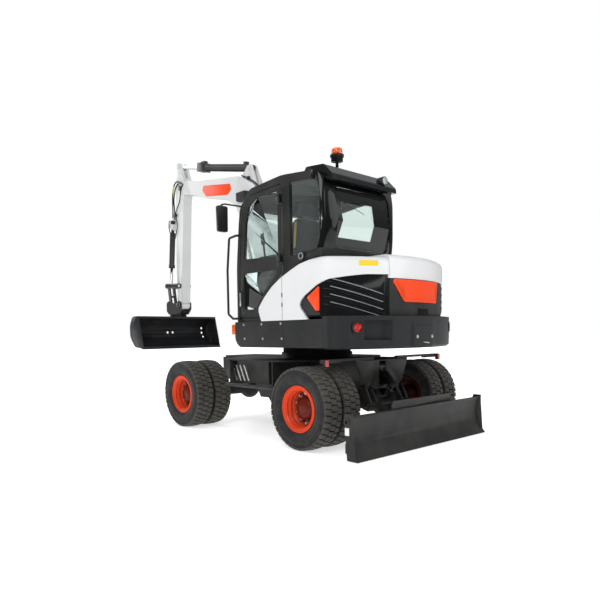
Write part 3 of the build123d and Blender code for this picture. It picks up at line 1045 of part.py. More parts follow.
def lights():
    """Beacon's pole and cup on the cowl, and the round work lamp behind the cab roof."""
    x, y = BEACON
    pole = upright(x, y, 2780, 2942, 16.0)
    cup = join(upright(x, y, 2940, 2998, 62.0), upright(x, y, 2985, 3008, 72.0))
    lamp_y, lamp_z = REAR_WORK_LAMP
    lamp = join(bar((-1050, lamp_y, lamp_z), (-1128, lamp_y, lamp_z), 45.0),
                bar((-1040, lamp_y, lamp_z), (-1052, lamp_y, lamp_z), 28.0))
    return cut(group(join(pole, cup), lamp), cab_form(0), cowl())


def amber_lamps():
    """Dome of the beacon and the marker lamps at the house's front corners."""
    x, y = BEACON
    low = 3008 + FACE_GAP
    dome = upright(x, y, low, 3078, 57.0)
    dome = dome.fillet(30.0, [edge for edge in dome.edges() if edge.center().Z > 3077])
    front = HOUSE_FRONT_X + FACE_GAP
    marker = block((front, front + MARKER_LENGTH), (HOUSE_HALF_WIDTH - 70, HOUSE_HALF_WIDTH - 12), (1165, 1280))
    marker = marker.fillet(14.0, [edge for edge in marker.edges() if edge.center().X > front + 5])
    return group(dome, both_sides(marker))


def boom_lamp():
    """Oblong work lamp on the boom's left cheek."""
    face = BOOM_Y + ARM_WIDTH / 2 + CHEEK_GAP + CHEEK
    lamp = block((1290, 1500), (face + FACE_GAP, face + 80), (2985, 3110))
    return lamp.fillet(22.0, [edge for edge in lamp.edges() if edge.center().Y > face + 40])


CYLINDERS = {
    # name: foot, eye, middle y, barrel radius, rod radius, barrel length, blind end of the bore, retraction
    "boom_cylinder": (BOOM_CYLINDER_FOOT, BOOM_CYLINDER_EYE, BOOM_Y, 58.0, 30.0, 1010.0, 138.0, 400.0),
    "arm_cylinder": (ARM_CYLINDER_FOOT, ARM_CYLINDER_EYE, BOOM_Y, 52.0, 27.0, 1320.0, 133.0, 460.0),
    "bucket_cylinder": (BUCKET_CYLINDER_FOOT, LINK_TOP, BOOM_Y, 44.0, 23.0, 673.0, 52.0, 258.0),
    "blade_cylinder": (BLADE_CYLINDER_TOP, BLADE_CYLINDER_FOOT, 0.0, 45.0, 24.0, 300.0, 127.0, 113.0),
}


def build():
    """All nodes by name, in the machine's own axes."""
    nodes = {"chassis_frame": chassis(), "rear_axle": rear_axle(), "front_axle": front_axle(),
             "side_steps": steps(), "rear_lamp_arms": lamp_arms(), "chassis_lamps": chassis_lamps(),
             "knuckle_left": knuckle(), "knuckle_right": mirrored(knuckle()), "steering_rod": steering_rod(),
             "blade": blade(), "house_frame": house_frame(), "side_skirts": group(skirts(), front_sill()),
             "counterweight": counterweight(), "tail_lamps": tail_lamps(), "engine_block": engine(),
             "body_sides": body_sides(), "corner_grilles": grilles(), "seat": seat(),
             "cab_cowl": cowl(), "cab_fittings": cab_fittings(), "cab_lights": lights(), "mirror": mirror(),
             "amber_lamps": amber_lamps(), "accent_panels": accent_panels(), "hood_badge": hood_badge(),
             "swing_post": swing_post(), "boom": boom(), "boom_lamp": boom_lamp(), "arm": arm(),
             "rocker": group(*rocker()), "link": link(),
             "quick_coupler": coupler(), "bucket": bucket()}
    nodes.update(wheel_nodes())
    nodes["hood_top"], nodes["hood_panel"] = hood_lid()
    nodes["cab_frame"], nodes["cab_glass"] = cab()
    nodes["door_frame"], nodes["door_glass"] = door()
    nodes["steering_column"], nodes["consoles"] = controls()
    for name, sizes in CYLINDERS.items():
        nodes[f"{name}_barrel"], nodes[f"{name}_rod"] = cylinder(*sizes)
    return nodes


def main():
    """Write each node, moved so that the origin is the middle of the footprint."""
    nodes = build()
    box = Compound([solid for node in nodes.values() for solid in node.solids()]).bounding_box()
    middle = (box.min.X + box.max.X) / 2
    print(f"swing axis x {-middle:.3f} box {box.min} {box.max}")
    os.makedirs("parts", exist_ok=True)
    for name, node in nodes.items():
        export_step(node.moved(Location((-middle, 0, 0))), f"parts/{name}.step")


if __name__ == "__main__":
    main()
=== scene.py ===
"""Looks of a compact wheeled excavator: its finishes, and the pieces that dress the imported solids.

Places are given in the machine's own axes in millimetres, as its builder measures them: X forwards to the
bucket, Y to the driver's left, Z up from the ground, with the slewing axis at X = 0. One function turns them
into the row frame in metres.
"""

from __future__ import annotations

import json
import logging
import math
from dataclasses import dataclass
from enum import Enum
from functools import lru_cache
from typing import ClassVar, Iterable, Sequence

import bmesh
import bpy
import numpy as np
from mathutils import Matrix, Vector

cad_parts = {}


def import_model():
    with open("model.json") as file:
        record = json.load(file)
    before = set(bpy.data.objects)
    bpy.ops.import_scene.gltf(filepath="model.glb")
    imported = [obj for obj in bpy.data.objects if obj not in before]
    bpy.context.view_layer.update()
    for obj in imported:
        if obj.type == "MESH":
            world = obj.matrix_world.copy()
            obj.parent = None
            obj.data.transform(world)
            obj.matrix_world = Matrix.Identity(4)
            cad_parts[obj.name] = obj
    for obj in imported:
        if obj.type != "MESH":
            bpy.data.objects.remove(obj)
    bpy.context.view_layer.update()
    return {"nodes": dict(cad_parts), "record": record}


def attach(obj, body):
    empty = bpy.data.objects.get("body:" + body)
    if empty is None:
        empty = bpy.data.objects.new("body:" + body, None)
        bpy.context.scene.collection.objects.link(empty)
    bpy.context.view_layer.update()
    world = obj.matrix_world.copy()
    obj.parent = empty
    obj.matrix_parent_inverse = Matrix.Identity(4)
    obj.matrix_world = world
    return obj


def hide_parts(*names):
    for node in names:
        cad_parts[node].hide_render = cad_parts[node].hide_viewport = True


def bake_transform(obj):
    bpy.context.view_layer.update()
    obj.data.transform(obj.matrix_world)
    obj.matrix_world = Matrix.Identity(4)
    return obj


LOG = logging.getLogger("wheeled_excavator")
MM = 0.001
SLEW_AXIS_X = -1032.5
SMOOTH_ANGLE = math.radians(32)
MERGE_DISTANCE = 0.02 * MM
LEFT, RIGHT, BACK, UP = (Vector(way) for way in ((0, 1, 0), (0, -1, 0), (-1, 0, 0), (0, 0, 1)))
BOTH_SIDES = ((1, LEFT), (-1, RIGHT))
SIDE_SIGNS = (("left", 1), ("right", -1))
WHITE_LIGHT = (1.0, 1.0, 1.0, 1.0)
# the range in which a noise's factor mostly lies
NOISE_LOW, NOISE_HIGH = 0.3, 0.7
# half waves to the metre of the wave texture at a scale of one
HALF_WAVES = 6.3
ROUNDING_SEGMENTS = 2
# largest part of a straight wall's normal that is taken as an error of its facets
WALL_LEAN = 0.35
# how deep plates are sunk into the wall that they lie on
FLAT_SINK_MM, ROUND_SINK_MM = 0.4, 0.5
# radii of a bolt's washer and corners, as parts of its width over flats
WASHER_PART, CORNER_PART = 0.78, 0.577
WASHER_LOW_MM, WASHER_TOP_MM = -0.5, 1.6
BOLT_CHAMFER_MM = (1.5, 2.5)
TUBE_STEPS = 8

Point = Sequence[float]
Tree = bpy.types.NodeTree
Socket = bpy.types.NodeSocket
Mesh = bpy.types.Mesh
Shell = bmesh.types.BMesh
Row = Sequence[bmesh.types.BMVert]


def at(x: float, y: float, z: float) -> Vector:
    """Place in the row frame, in metres, of a point in the machine's axes, in millimetres.

    Args:
        x: Forwards from the slewing axis.
        y: To the driver's left of the middle.
        z: Up from the ground.

    Returns:
        The point in the row frame.
    """
    return Vector((x + SLEW_AXIS_X, y, z)) * MM


def linear(colour: str) -> tuple[float, float, float, float]:
    """Linear colour of an sRGB hex value.

    Args:
        colour: Six hex digits after a hash.

    Returns:
        Red, green, blue and an alpha of one.
    """
    channels = [int(colour[start:start + 2], 16) / 255 for start in (1, 3, 5)]
    red, green, blue = [c / 12.92 if c <= 0.04045 else ((c + 0.055) / 1.055) ** 2.4 for c in channels]
    return red, green, blue, 1.0


def add(tree: Tree, kind: str, inputs: dict | None = None, **settings: object) -> bpy.types.Node:
    """Add one node with its settings, values and links.

    Args:
        tree: The tree that gets it.
        kind: The node's type.
        inputs: Values or output sockets for its inputs, by name or place.
        **settings: Properties of the node itself.

    Returns:
        The new node.
    """
    node = tree.nodes.new(kind)
    for name, value in settings.items():
        setattr(node, name, value)
    for key, value in (inputs or {}).items():
        if isinstance(value, Socket):
            tree.links.new(value, node.inputs[key])
        else:
            node.inputs[key].default_value = value
    return node


@dataclass(frozen=True)
class Finish:
    """A surface: the record's slot it belongs to, its colour and how it shines."""

    name: str
    slot: str
    colour: str
    roughness: float
    metallic: float = 0.0
    ior: float = 1.5
    edge_mm: float = 2.5
    specular: float = 0.5

    def sockets(self, tree: Tree, place: Socket) -> dict:
        """Inputs of the shader that this finish sets beside the shared ones.

        Args:
            tree: The material's node tree.
            place: Object coordinates, in metres.

        Returns:
            Values or sockets by the shader's input names.
        """
        return {}

    @lru_cache(maxsize=None)
    def material(self) -> bpy.types.Material:
        """Build the finish's material once.

        Returns:
            The material, which every piece of this finish shares.
        """
        material = bpy.data.materials.new(self.name)
        material.use_nodes = True
        tree = material.node_tree
        tree.nodes.clear()
        place = add(tree, "ShaderNodeTexCoord").outputs["Object"]
        inputs = {"Base Color": linear(self.colour), "Roughness": self.roughness, "Metallic": self.metallic}
        if not self.metallic:
            inputs["IOR"] = self.ior
            inputs["Specular IOR Level"] = self.specular
        shader = add(tree, "ShaderNodeBsdfPrincipled", {**inputs, **self.sockets(tree, place)})
        add(tree, "ShaderNodeOutputMaterial", {"Surface": shader.outputs[0]})
        return material

    def rounded(self, tree: Tree) -> Socket:
        """Normal that rolls over each edge by the finish's edge radius, as folded or ground steel does."""
        return add(tree, "ShaderNodeBevel", {"Radius": self.edge_mm * MM}, samples=4).outputs[0]


def noise(tree: Tree, place: Socket, size_mm: float, detail: float = 3.0, rough: float = 0.55) -> Socket:
    """Noise whose features have a real size.

    Args:
        tree: The material's node tree.
        place: Object coordinates, in metres.
        size_mm: Size of a feature.
        detail: How many finer layers it has.
        rough: Strength of the finer layers.

    Returns:
        The factor, around one half.
    """
    inputs = {"Vector": place, "Scale": 1.0 / (size_mm * MM), "Detail": detail, "Roughness": rough}
    return add(tree, "ShaderNodeTexNoise", inputs).outputs[0]


def between(tree: Tree, value: Socket, low: float, high: float, start: float = 0.0,
            end: float = 1.0) -> Socket:
    """Value taken from one range to another and held inside it."""
    inputs = {"Value": value, "From Min": low, "From Max": high, "To Min": start, "To Max": end}
    return add(tree, "ShaderNodeMapRange", inputs).outputs[0]


def blended(tree: Tree, factor: Socket, first: object, second: object) -> Socket:
    """Colour between two colours or colour sockets."""
    return add(tree, "ShaderNodeMix", {0: factor, 6: first, 7: second}, data_type="RGBA").outputs[2]


def bumped(tree: Tree, height: Socket, depth_mm: float, normal: Socket | None = None) -> Socket:
    """Normal of a relief whose depth is given in millimetres, on top of another normal."""
    inputs = {"Height": height, "Distance": depth_mm * MM, "Strength": 1.0}
    if normal is not None:
        inputs["Normal"] = normal
    return add(tree, "ShaderNodeBump", inputs).outputs[0]


def computed(tree: Tree, operation: str, *values: object) -> Socket:
    """Result of one operation on numbers or sockets."""
    return add(tree, "ShaderNodeMath", dict(enumerate(values)), operation=operation).outputs[0]


def uneven(tree: Tree, place: Socket, size_mm: float, start: float, end: float,
           detail: float = 3.0) -> Socket:
    """Value that wanders between two others, over patches of a real size."""
    return between(tree, noise(tree, place, size_mm, detail), NOISE_LOW, NOISE_HIGH, start, end)


def waves(tree: Tree, place: Socket, half_mm: float, way: str) -> Socket:
    """Even waves along an axis, for the width of half a wave."""
    scale = 1.0 / (half_mm * MM) / HALF_WAVES
    return add(tree, "ShaderNodeTexWave", {"Vector": place, "Scale": scale}, bands_direction=way).outputs[1]


@dataclass(frozen=True)
class Enamel(Finish):
    """Two-pack enamel sprayed on steel: an even coat with a soft skin, and road dust low down."""

    peel_mm: float = 9.0
    peel_depth_mm: float = 0.03
    dust: float = 0.22
    dust_colour: str = "#8d8678"
    dust_from_mm: float = 100.0
    dust_top_mm: float = 1050.0
    dust_above: float = 0.02
    dust_patch_mm: float = 160.0
    cloud_mm: float = 420.0
    coat: float = 0.25
    coat_roughness: float = 0.08

    def sockets(self, tree: Tree, place: Socket) -> dict:
        """Colour with its dust, a skin like orange peel and a clear top."""
        height = add(tree, "ShaderNodeSeparateXYZ", {0: place}).outputs[2]
        low = between(tree, height, self.dust_from_mm * MM, self.dust_top_mm * MM, self.dust, self.dust_above)
        patches = between(tree, noise(tree, place, self.dust_patch_mm), 0.35, 0.7)
        dusty = computed(tree, "MULTIPLY", low, patches)
        shade = blended(tree, uneven(tree, place, self.cloud_mm, 0.0, 0.06, 2.0),
                        linear(self.colour), linear(self.dust_colour))
        # real orange peel is one to three millimetres across, and this one is coarser so that it shows
        skin = bumped(tree, noise(tree, place, self.peel_mm, 1.0), self.peel_depth_mm, self.rounded(tree))
        gloss = between(tree, dusty, 0.0, 0.3, self.roughness, min(1.0, self.roughness + 0.3))
        return {"Base Color": blended(tree, dusty, shade, linear(self.dust_colour)), "Roughness": gloss,
                "Normal": skin, "Coat Weight": self.coat, "Coat Roughness": self.coat_roughness}


@dataclass(frozen=True)
class CabEnamel(Enamel):
    """Satin enamel of the cab, polished to piano black behind the door."""

    gloss_colour: str = "#08090a"
    gloss_roughness: float = 0.08
    gloss_from_x: float = -925.0
    gloss_from_z: float = 1995.0
    gloss_edge_mm: float = 2.0

    def sockets(self, tree: Tree, place: Socket) -> dict:
        """The enamel's own sockets, with a polished zone round the rear window."""
        given = super().sockets(tree, place)
        parts = add(tree, "ShaderNodeSeparateXYZ", {0: place}).outputs
        edge, soft = at(self.gloss_from_x, 0.0, self.gloss_from_z), self.gloss_edge_mm * MM
        behind = between(tree, parts[0], edge.x + soft, edge.x - soft)
        above = between(tree, parts[2], edge.z - soft, edge.z + soft)
        zone = computed(tree, "MULTIPLY", behind, above)
        inputs = {0: zone, 2: given["Roughness"], 3: self.gloss_roughness}
        return {**given, "Base Color": blended(tree, zone, given["Base Color"], linear(self.gloss_colour)),
                "Roughness": add(tree, "ShaderNodeMix", inputs).outputs[0]}


@dataclass(frozen=True)
class RimEnamel(Enamel):
    """Wheel enamel: bright on the lip and steps, darkened by painted shade on the disc, the hub and the inner
    wheel.
    """

    depth_shade_colour: str = "#2a0904"
    disc_painted_shade: float = 0.86
    disc_radii: tuple[float, float] = (190.0, 148.0)
    inner_wheel_painted_shade: float = 0.96
    inner_sides: tuple[float, float] = (800.0, 760.0)
    axle_middle_x: float = 260.0
    axle_half: float = 1100.0
    axle_z: float = 420.0

    def sockets(self, tree: Tree, place: Socket) -> dict:
        """The enamel's own sockets, with painted shade on the disc, the hub and the inner wheel."""
        given = super().sockets(tree, place)
        parts = add(tree, "ShaderNodeSeparateXYZ", {0: place}).outputs
        middle = at(self.axle_middle_x, 0.0, self.axle_z)
        from_middle = computed(tree, "ABSOLUTE", computed(tree, "SUBTRACT", parts[0], middle.x))
        from_axle = computed(tree, "SUBTRACT", from_middle, self.axle_half * MM)
        up = computed(tree, "SUBTRACT", parts[2], middle.z)
        squares = [computed(tree, "MULTIPLY", part, part) for part in (from_axle, up)]
        radius = computed(tree, "SQRT", computed(tree, "ADD", *squares))
        disc = between(tree, radius, *(edge * MM for edge in self.disc_radii), 0.0, self.disc_painted_shade)
        inside = between(tree, computed(tree, "ABSOLUTE", parts[1]),
                         *(edge * MM for edge in self.inner_sides), 0.0, self.inner_wheel_painted_shade)
        # painted shade: the disc and the inner wheel turn dark red, for the shade deep inside the twin wheels
        painted_shade = computed(tree, "MAXIMUM", disc, inside)
        return {**given, "Base Color": blended(tree, painted_shade, given["Base Color"], linear(self.depth_shade_colour))}


@dataclass(frozen=True)
class Cast(Finish):
    """Sand-cast or flame-cut steel under thin paint: a pitted skin."""

    grain_mm: float = 5.0
    depth_mm: float = 0.35
    rust_colour: str = "#5b4a3c"
    rust: float = 0.15
    rust_mm: float = 60.0

    def sockets(self, tree: Tree, place: Socket) -> dict:
        """Pitted relief and a little rust in the low spots."""
        pits = noise(tree, place, self.grain_mm, 4.0, 0.65)
        stain = between(tree, noise(tree, place, self.rust_mm, 5.0, 0.7), 0.55, 0.8, 0.0, self.rust)
        return {"Base Color": blended(tree, stain, linear(self.colour), linear(self.rust_colour)),
                "Roughness": between(tree, pits, NOISE_LOW, NOISE_HIGH, self.roughness - 0.08,
                                     self.roughness + 0.1),
                "Normal": bumped(tree, pits, self.depth_mm, self.rounded(tree))}


@dataclass(frozen=True)
class Rubber(Finish):
    """Moulded tyre rubber: matt, with a bloom of dust and a fine mould skin."""

    dust_colour: str = "#7b766c"
    dust: float = 0.35
    dust_patch_mm: float = 90.0
    skin_mm: float = 3.0
    skin_depth_mm: float = 0.12

    def sockets(self, tree: Tree, place: Socket) -> dict:
        """Dusty patches and a fine skin."""
        patches = between(tree, noise(tree, place, self.dust_patch_mm, 4.0, 0.6), 0.4, 0.75, 0.0, self.dust)
        skin = bumped(tree, noise(tree, place, self.skin_mm, 2.0), self.skin_depth_mm, self.rounded(tree))
        return {"Base Color": blended(tree, patches, linear(self.colour), linear(self.dust_colour)),
                "Normal": skin, "Sheen Weight": 0.1, "Sheen Roughness": 0.5}


@dataclass(frozen=True)
class Metal(Finish):
    """Bare or plated metal: bright, with fine marks of its making."""

    mark_mm: float = 2.0
    depth_mm: float = 0.01
    polish_mm: float = 35.0

    def sockets(self, tree: Tree, place: Socket) -> dict:
        """Uneven polish and faint marks."""
        marks = noise(tree, place, self.mark_mm, 3.0)
        return {"Roughness": uneven(tree, place, self.polish_mm, self.roughness, self.roughness + 0.1),
                "Normal": bumped(tree, marks, self.depth_mm, self.rounded(tree))}


@dataclass(frozen=True)
class Plastic(Finish):
    """Moulded plastic: glossy from a polished mould, or grained."""

    grain_mm: float = 1.5
    depth_mm: float = 0.05
    polish_mm: float = 120.0
    coat: float = 0.0
    coat_roughness: float = 0.05

    def sockets(self, tree: Tree, place: Socket) -> dict:
        """Fine grain and small differences of gloss."""
        grain = noise(tree, place, self.grain_mm, 1.0)
        return {"Roughness": uneven(tree, place, self.polish_mm, self.roughness, self.roughness + 0.06),
                "Normal": bumped(tree, grain, self.depth_mm, self.rounded(tree)),
                "Coat Weight": self.coat, "Coat Roughness": self.coat_roughness}


@dataclass(frozen=True)
class Glass(Finish):
    """Tinted float glass or a lens: light goes through it."""

    through: float = 1.0
    wave_mm: float = 350.0
    wave_depth_mm: float = 0.15

    def sockets(self, tree: Tree, place: Socket) -> dict:
        """Through-going light, with the slight waves of toughened glass."""
        relief = bumped(tree, noise(tree, place, self.wave_mm, 0.0), self.wave_depth_mm)
        return {"Transmission Weight": self.through, "Normal": relief}


@dataclass(frozen=True)
class Lens(Finish):
    """Moulded lens of a lamp, with its ribs inside."""

    rib_mm: float = 7.0
    rib_depth_mm: float = 0.6
    through: float = 0.35
    coat: float = 0.8
    coat_roughness: float = 0.04

    def sockets(self, tree: Tree, place: Socket) -> dict:
        """Ribs one above the other and the lens's clear skin."""
        relief = bumped(tree, waves(tree, place, self.rib_mm, "Z"), self.rib_depth_mm)
        return {"Transmission Weight": self.through, "Normal": relief, "Coat Weight": self.coat,
                "Coat Roughness": self.coat_roughness}


@dataclass(frozen=True)
class Fabric(Finish):
    """Woven seat cloth."""

    thread_mm: float = 3.0
    thread_depth_mm: float = 0.5
    worn_colour: str = "#15161a"
    worn_mm: float = 25.0

    def sockets(self, tree: Tree, place: Socket) -> dict:
        """Weave of two crossing threads, coarser than the real half millimetre so that it shows."""
        weave = computed(tree, "MULTIPLY", *(waves(tree, place, self.thread_mm, way) for way in "YX"))
        shade = blended(tree, uneven(tree, place, self.worn_mm, 0.0, 0.3), linear(self.colour),
                        linear(self.worn_colour))
        return {"Base Color": shade, "Normal": bumped(tree, weave, self.thread_depth_mm), "Sheen Weight": 0.3}


@dataclass(frozen=True)
class WornSteel(Finish):
    """Painted digging steel, scoured bright along its working faces."""

    bare_colour: str = "#8a8680"
    wear: float = 0.5
    wear_mm: float = 70.0
    bare_metallic: float = 0.6
    scratch_mm: float = 14.0
    scratch_depth_mm: float = 0.4
    scratch_stretch: tuple[float, float, float] = (1.0, 0.25, 1.0)

    def sockets(self, tree: Tree, place: Socket) -> dict:
        """Long scratches and patches where the paint has gone."""
        stretch = {"Vector": place, "Scale": self.scratch_stretch}
        stretched = add(tree, "ShaderNodeMapping", stretch).outputs[0]
        patches = noise(tree, stretched, self.wear_mm, 6.0, 0.7)
        gone = between(tree, patches, 0.56, 0.62, 0.0, self.wear)
        scratches = noise(tree, stretched, self.scratch_mm, 4.0)
        return {"Base Color": blended(tree, gone, linear(self.colour), linear(self.bare_colour)),
                "Metallic": between(tree, gone, 0.0, 1.0, 0.0, self.bare_metallic),
                "Roughness": between(tree, patches, NOISE_LOW, NOISE_HIGH, self.roughness,
                                     self.roughness - 0.15),
                "Normal": bumped(tree, scratches, self.scratch_depth_mm, self.rounded(tree))}


@dataclass(frozen=True)
class Perforated(Finish):
    """Punched sheet: rows of round holes."""

    pitch_mm: float = 9.0
    # painted shade: the holes are coloured near black for the dark behind them
    hole_shade_colour: str = "#030303"
    hole_edge: tuple[float, float] = (0.34, 0.4)
    hole_depth_mm: float = 1.5

    def sockets(self, tree: Tree, place: Socket) -> dict:
        """Holes as dimples in staggered rows, with painted shade in them."""
        inputs = {"Vector": place, "Scale": 1.0 / (self.pitch_mm * MM), "Randomness": 0.0}
        solid = between(tree, add(tree, "ShaderNodeTexVoronoi", inputs).outputs["Distance"], *self.hole_edge)
        return {"Base Color": blended(tree, solid, linear(self.hole_shade_colour), linear(self.colour)),
                "Normal": bumped(tree, solid, self.hole_depth_mm)}


class Look(Enum):
    """Every finish on the machine."""

    WHITE = Enamel("enamel_light_grey", "white_paint", "#dddede", 0.34, edge_mm=6.0)
    # the body's white paint, painted darker as shade on the boom and arm, which stand in softer light
    BOOM = Enamel("enamel_boom_grey", "white_paint", "#cccdcd", 0.36, edge_mm=6.0, coat=0.2)
    CHARCOAL = Enamel("enamel_charcoal", "charcoal_paint", "#151719", 0.48, edge_mm=4.0, dust=0.06,
                      coat=0.04, specular=0.25)
    CAB = CabEnamel("enamel_cab", "charcoal_paint", "#121416", 0.45, edge_mm=4.0, dust=0.04, coat=0.04,
                    specular=0.3)
    FRAME = Enamel("enamel_frame", "charcoal_paint", "#141517", 0.5, edge_mm=3.0, dust=0.14, coat=0.05,
                   specular=0.35)
    AXLE = Cast("painted_cast_steel", "charcoal_paint", "#151618", 0.55, specular=0.35)
    ORANGE = Enamel("enamel_orange", "orange_paint", "#ee4206", 0.36, dust=0.03, coat=0.06, specular=0.2)
    RIM = RimEnamel("enamel_wheel", "orange_paint", "#de3c05", 0.34, dust=0.05, coat=0.06, specular=0.15)
    BLACK = Enamel("enamel_black", "black_paint", "#0f1011", 0.35, dust=0.1, coat=0.15, specular=0.4)
    CAST = Cast("painted_cast_iron", "cast_grey", "#16181a", 0.5, depth_mm=0.15, rust=0.04, specular=0.3)
    ENGINE = Cast("machined_cast_iron", "engine_iron", "#4a4c4e", 0.6, rust=0.25)
    TYRE = Rubber("tyre_rubber", "tyre_rubber", "#1b1c1e", 0.8, dust=0.12, specular=0.3)
    TREAD = Rubber("trodden_rubber", "tyre_rubber", "#403d39", 0.85, dust=0.3, dust_colour="#6d675d",
                   specular=0.3)
    CHROME = Metal("hard_chrome", "chrome_rod", "#d9dadb", 0.08, metallic=1.0)
    ZINC = Metal("zinc_plated_steel", "chrome_rod", "#b9bbb8", 0.3, metallic=1.0, mark_mm=1.2, depth_mm=0.03)
    GLOSS = Plastic("polished_abs_black", "glossy_black", "#08090a", 0.1, depth_mm=0.002, coat=0.15,
                    specular=0.35)
    # grey on the glossy black slats: a painted highlight, for the bright sky reflected along each slat's lip
    LIP = Plastic("polished_abs_lip", "glossy_black", "#7d8285", 0.18, depth_mm=0.002, coat=0.6)
    PLASTIC = Plastic("grained_polypropylene", "black_plastic", "#17191b", 0.5, depth_mm=0.06, specular=0.35)
    GLASS = Glass("tinted_toughened_glass", "tinted_glass", "#eef8f5", 0.02)
    RED = Lens("acrylic_red_lens", "red_lens", "#d0160f", 0.12)
    AMBER = Lens("acrylic_amber_lens", "amber_lens", "#f5650a", 0.12)
    HOSE = Rubber("braided_hose_cover", "tyre_rubber", "#121314", 0.6, dust=0.1, specular=0.35)
    MESH = Perforated("punched_black_sheet", "glossy_black", "#1d1f22", 0.45)
    LABEL = Plastic("blank_yellow_label", "", "#e8c71c", 0.35, depth_mm=0.0)
    STICKER = Plastic("blank_white_label", "", "#e9eaea", 0.4, depth_mm=0.0)
    SLEEVE = Plastic("yellow_hose_sleeve", "", "#c9b43a", 0.55)
    LENS = Lens("clear_lamp_lens", "tinted_glass", "#dfe6ea", 0.08, through=0.6)
    CLOTH = Fabric("woven_seat_cloth", "seat_fabric", "#2b2d33", 0.9)
    BUCKET = WornSteel("scoured_bucket_steel", "bucket_steel", "#1f2022", 0.55, wear=0.08, wear_mm=160.0,
                       specular=0.25)


def as_mesh(shell: Shell, name: str) -> Mesh:
    """Mesh from a bmesh as it stands; the bmesh is freed."""
    mesh = bpy.data.meshes.new(name)
    shell.to_mesh(mesh)
    shell.free()
    return mesh


def mesh_of(shell: Shell, name: str) -> Mesh:
    """Mesh from a bmesh, joined and with its faces pointing outwards."""
    bmesh.ops.remove_doubles(shell, verts=shell.verts, dist=MERGE_DISTANCE)
    bmesh.ops.recalc_face_normals(shell, faces=shell.faces)
    return as_mesh(shell, name)


def merged(node: Mesh, name: str) -> Mesh:
    """Copy of a CAD node's mesh with its loose triangles joined."""
    shell = bmesh.new()
    shell.from_mesh(node)
    bmesh.ops.remove_doubles(shell, verts=shell.verts, dist=MERGE_DISTANCE)
    return as_mesh(shell, name)


def made_plain(carrier: bpy.types.Object) -> Mesh:
    """Mesh of an object as its curve settings and modifiers make it; the object is removed."""
    bpy.context.scene.collection.objects.link(carrier)
    bpy.context.view_layer.update()
    evaluated = carrier.evaluated_get(bpy.context.evaluated_depsgraph_get())
    mesh = bpy.data.meshes.new_from_object(evaluated)
    bpy.data.objects.remove(carrier)
    return mesh


def trued(mesh: Mesh, axis: int) -> None:
    """Give a mesh's straight walls their true normals, because its slanting facets tilt them.

    Args:
        mesh: A mesh that is already shaded smooth.
        axis: The axis along which the walls run straight.
    """
    corners = np.empty(len(mesh.loops) * 3, dtype=np.float32)
    mesh.corner_normals.foreach_get("vector", corners)
    corners = corners.reshape(-1, 3)
    faces = np.empty(len(mesh.polygons) * 3, dtype=np.float32)
    mesh.polygons.foreach_get("normal", faces)
    totals = np.empty(len(mesh.polygons), dtype=np.int32)
    mesh.polygons.foreach_get("loop_total", totals)
    wall = np.repeat(np.abs(faces.reshape(-1, 3)[:, axis]) < WALL_LEAN, totals)
    corners[wall, axis] = 0.0
    corners /= np.maximum(np.linalg.norm(corners, axis=1, keepdims=True), 1e-6)
    mesh.normals_split_custom_set(corners.tolist())


def place_piece(name: str, mesh: Mesh, look: Look, body: str | None,
                stands_for: Iterable[str] = ()) -> bpy.types.Object:
    """Put a finished mesh on the machine.

    Args:
        name: The piece's name.
        mesh: Its mesh, in the row frame.
        look: Its finish.
        body: The CAD body that carries it, or none for a piece that crosses a joint and is left on no body.
        stands_for: CAD nodes that it replaces.

    Returns:
        The new object.
    """
    mesh.materials.clear()
    mesh.materials.append(look.value.material())
    mesh.shade_smooth()
    mesh.set_sharp_from_angle(angle=SMOOTH_ANGLE)
    piece = bpy.data.objects.new(name, mesh)
    bpy.context.scene.collection.objects.link(piece)
    if body:
        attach(piece, body)
    for node in stands_for:
        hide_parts(node)
    LOG.info("%s: %d faces on %s", name, len(mesh.polygons), body)
    return piece


def place_shell(name: str, shell: Shell, look: Look, body: str,
                stands_for: Iterable[str] = ()) -> bpy.types.Object:
    """Put a bmesh on the machine as a finished piece, as `place_piece` does with a mesh."""
    return place_piece(name, mesh_of(shell, name), look, body, stands_for)


def band(shell: Shell, low: Row, high: Row) -> list[bmesh.types.BMFace]:
    """Join two closed rows of vertices by faces; a row of one vertex is the tip of a fan."""
    count = max(len(low), len(high))
    faces = []
    for index in range(count):
        after = (index + 1) % count
        if len(low) == 1:
            corners = (low[0], high[index], high[after])
        elif len(high) == 1:
            corners = (low[index], low[after], high[0])
        else:
            corners = (low[index], low[after], high[after], high[index])
        faces.append(shell.faces.new(corners))
    return faces


def loft(shell: Shell, rows: Sequence[Row]) -> None:
    """Close a body over successive closed rows of vertices, with a face at each end."""
    for low, high in zip(rows, rows[1:]):
        band(shell, low, high)
    shell.faces.new(rows[0])
    shell.faces.new(rows[-1])


def lathe(shell: Shell, centre: Vector, axis: Vector, profile: Sequence[tuple[float, float]],
          sides: int) -> None:
    """Add a closed turned body to a bmesh.

    Args:
        shell: The bmesh that gets it.
        centre: A point on its axis, in the row frame.
        axis: Direction of the axis.
        profile: Points (along, radius) in millimetres; the first and last lie on the axis or close a ring.
        sides: Facets around it.
    """
    axis = axis.normalized()
    across = axis.orthogonal().normalized()
    other = axis.cross(across)
    rings = []
    for along, radius in profile:
        middle = centre + axis * along * MM
        if not radius:
            rings.append([shell.verts.new(middle)])
            continue
        angles = (2 * math.pi * index / sides for index in range(sides))
        spokes = (across * math.cos(angle) + other * math.sin(angle) for angle in angles)
        rings.append([shell.verts.new(middle + spoke * radius * MM) for spoke in spokes])
    closed = len(rings[0]) > 1 and len(rings[-1]) > 1
    for low, high in zip(rings, rings[1:] + rings[:1] if closed else rings[1:]):
        band(shell, low, high)


def turned(name: str, look: Look, body: str, turns: Iterable[tuple[Vector, Vector]],
           profile: Sequence[tuple[float, float]], sides: int = 40) -> None:
    """Put turned parts of one profile on a body, for the centre and axis of each."""
    shell = bmesh.new()
    for centre, axis in turns:
        lathe(shell, centre, axis, profile, sides)
    place_shell(name, shell, look, body)


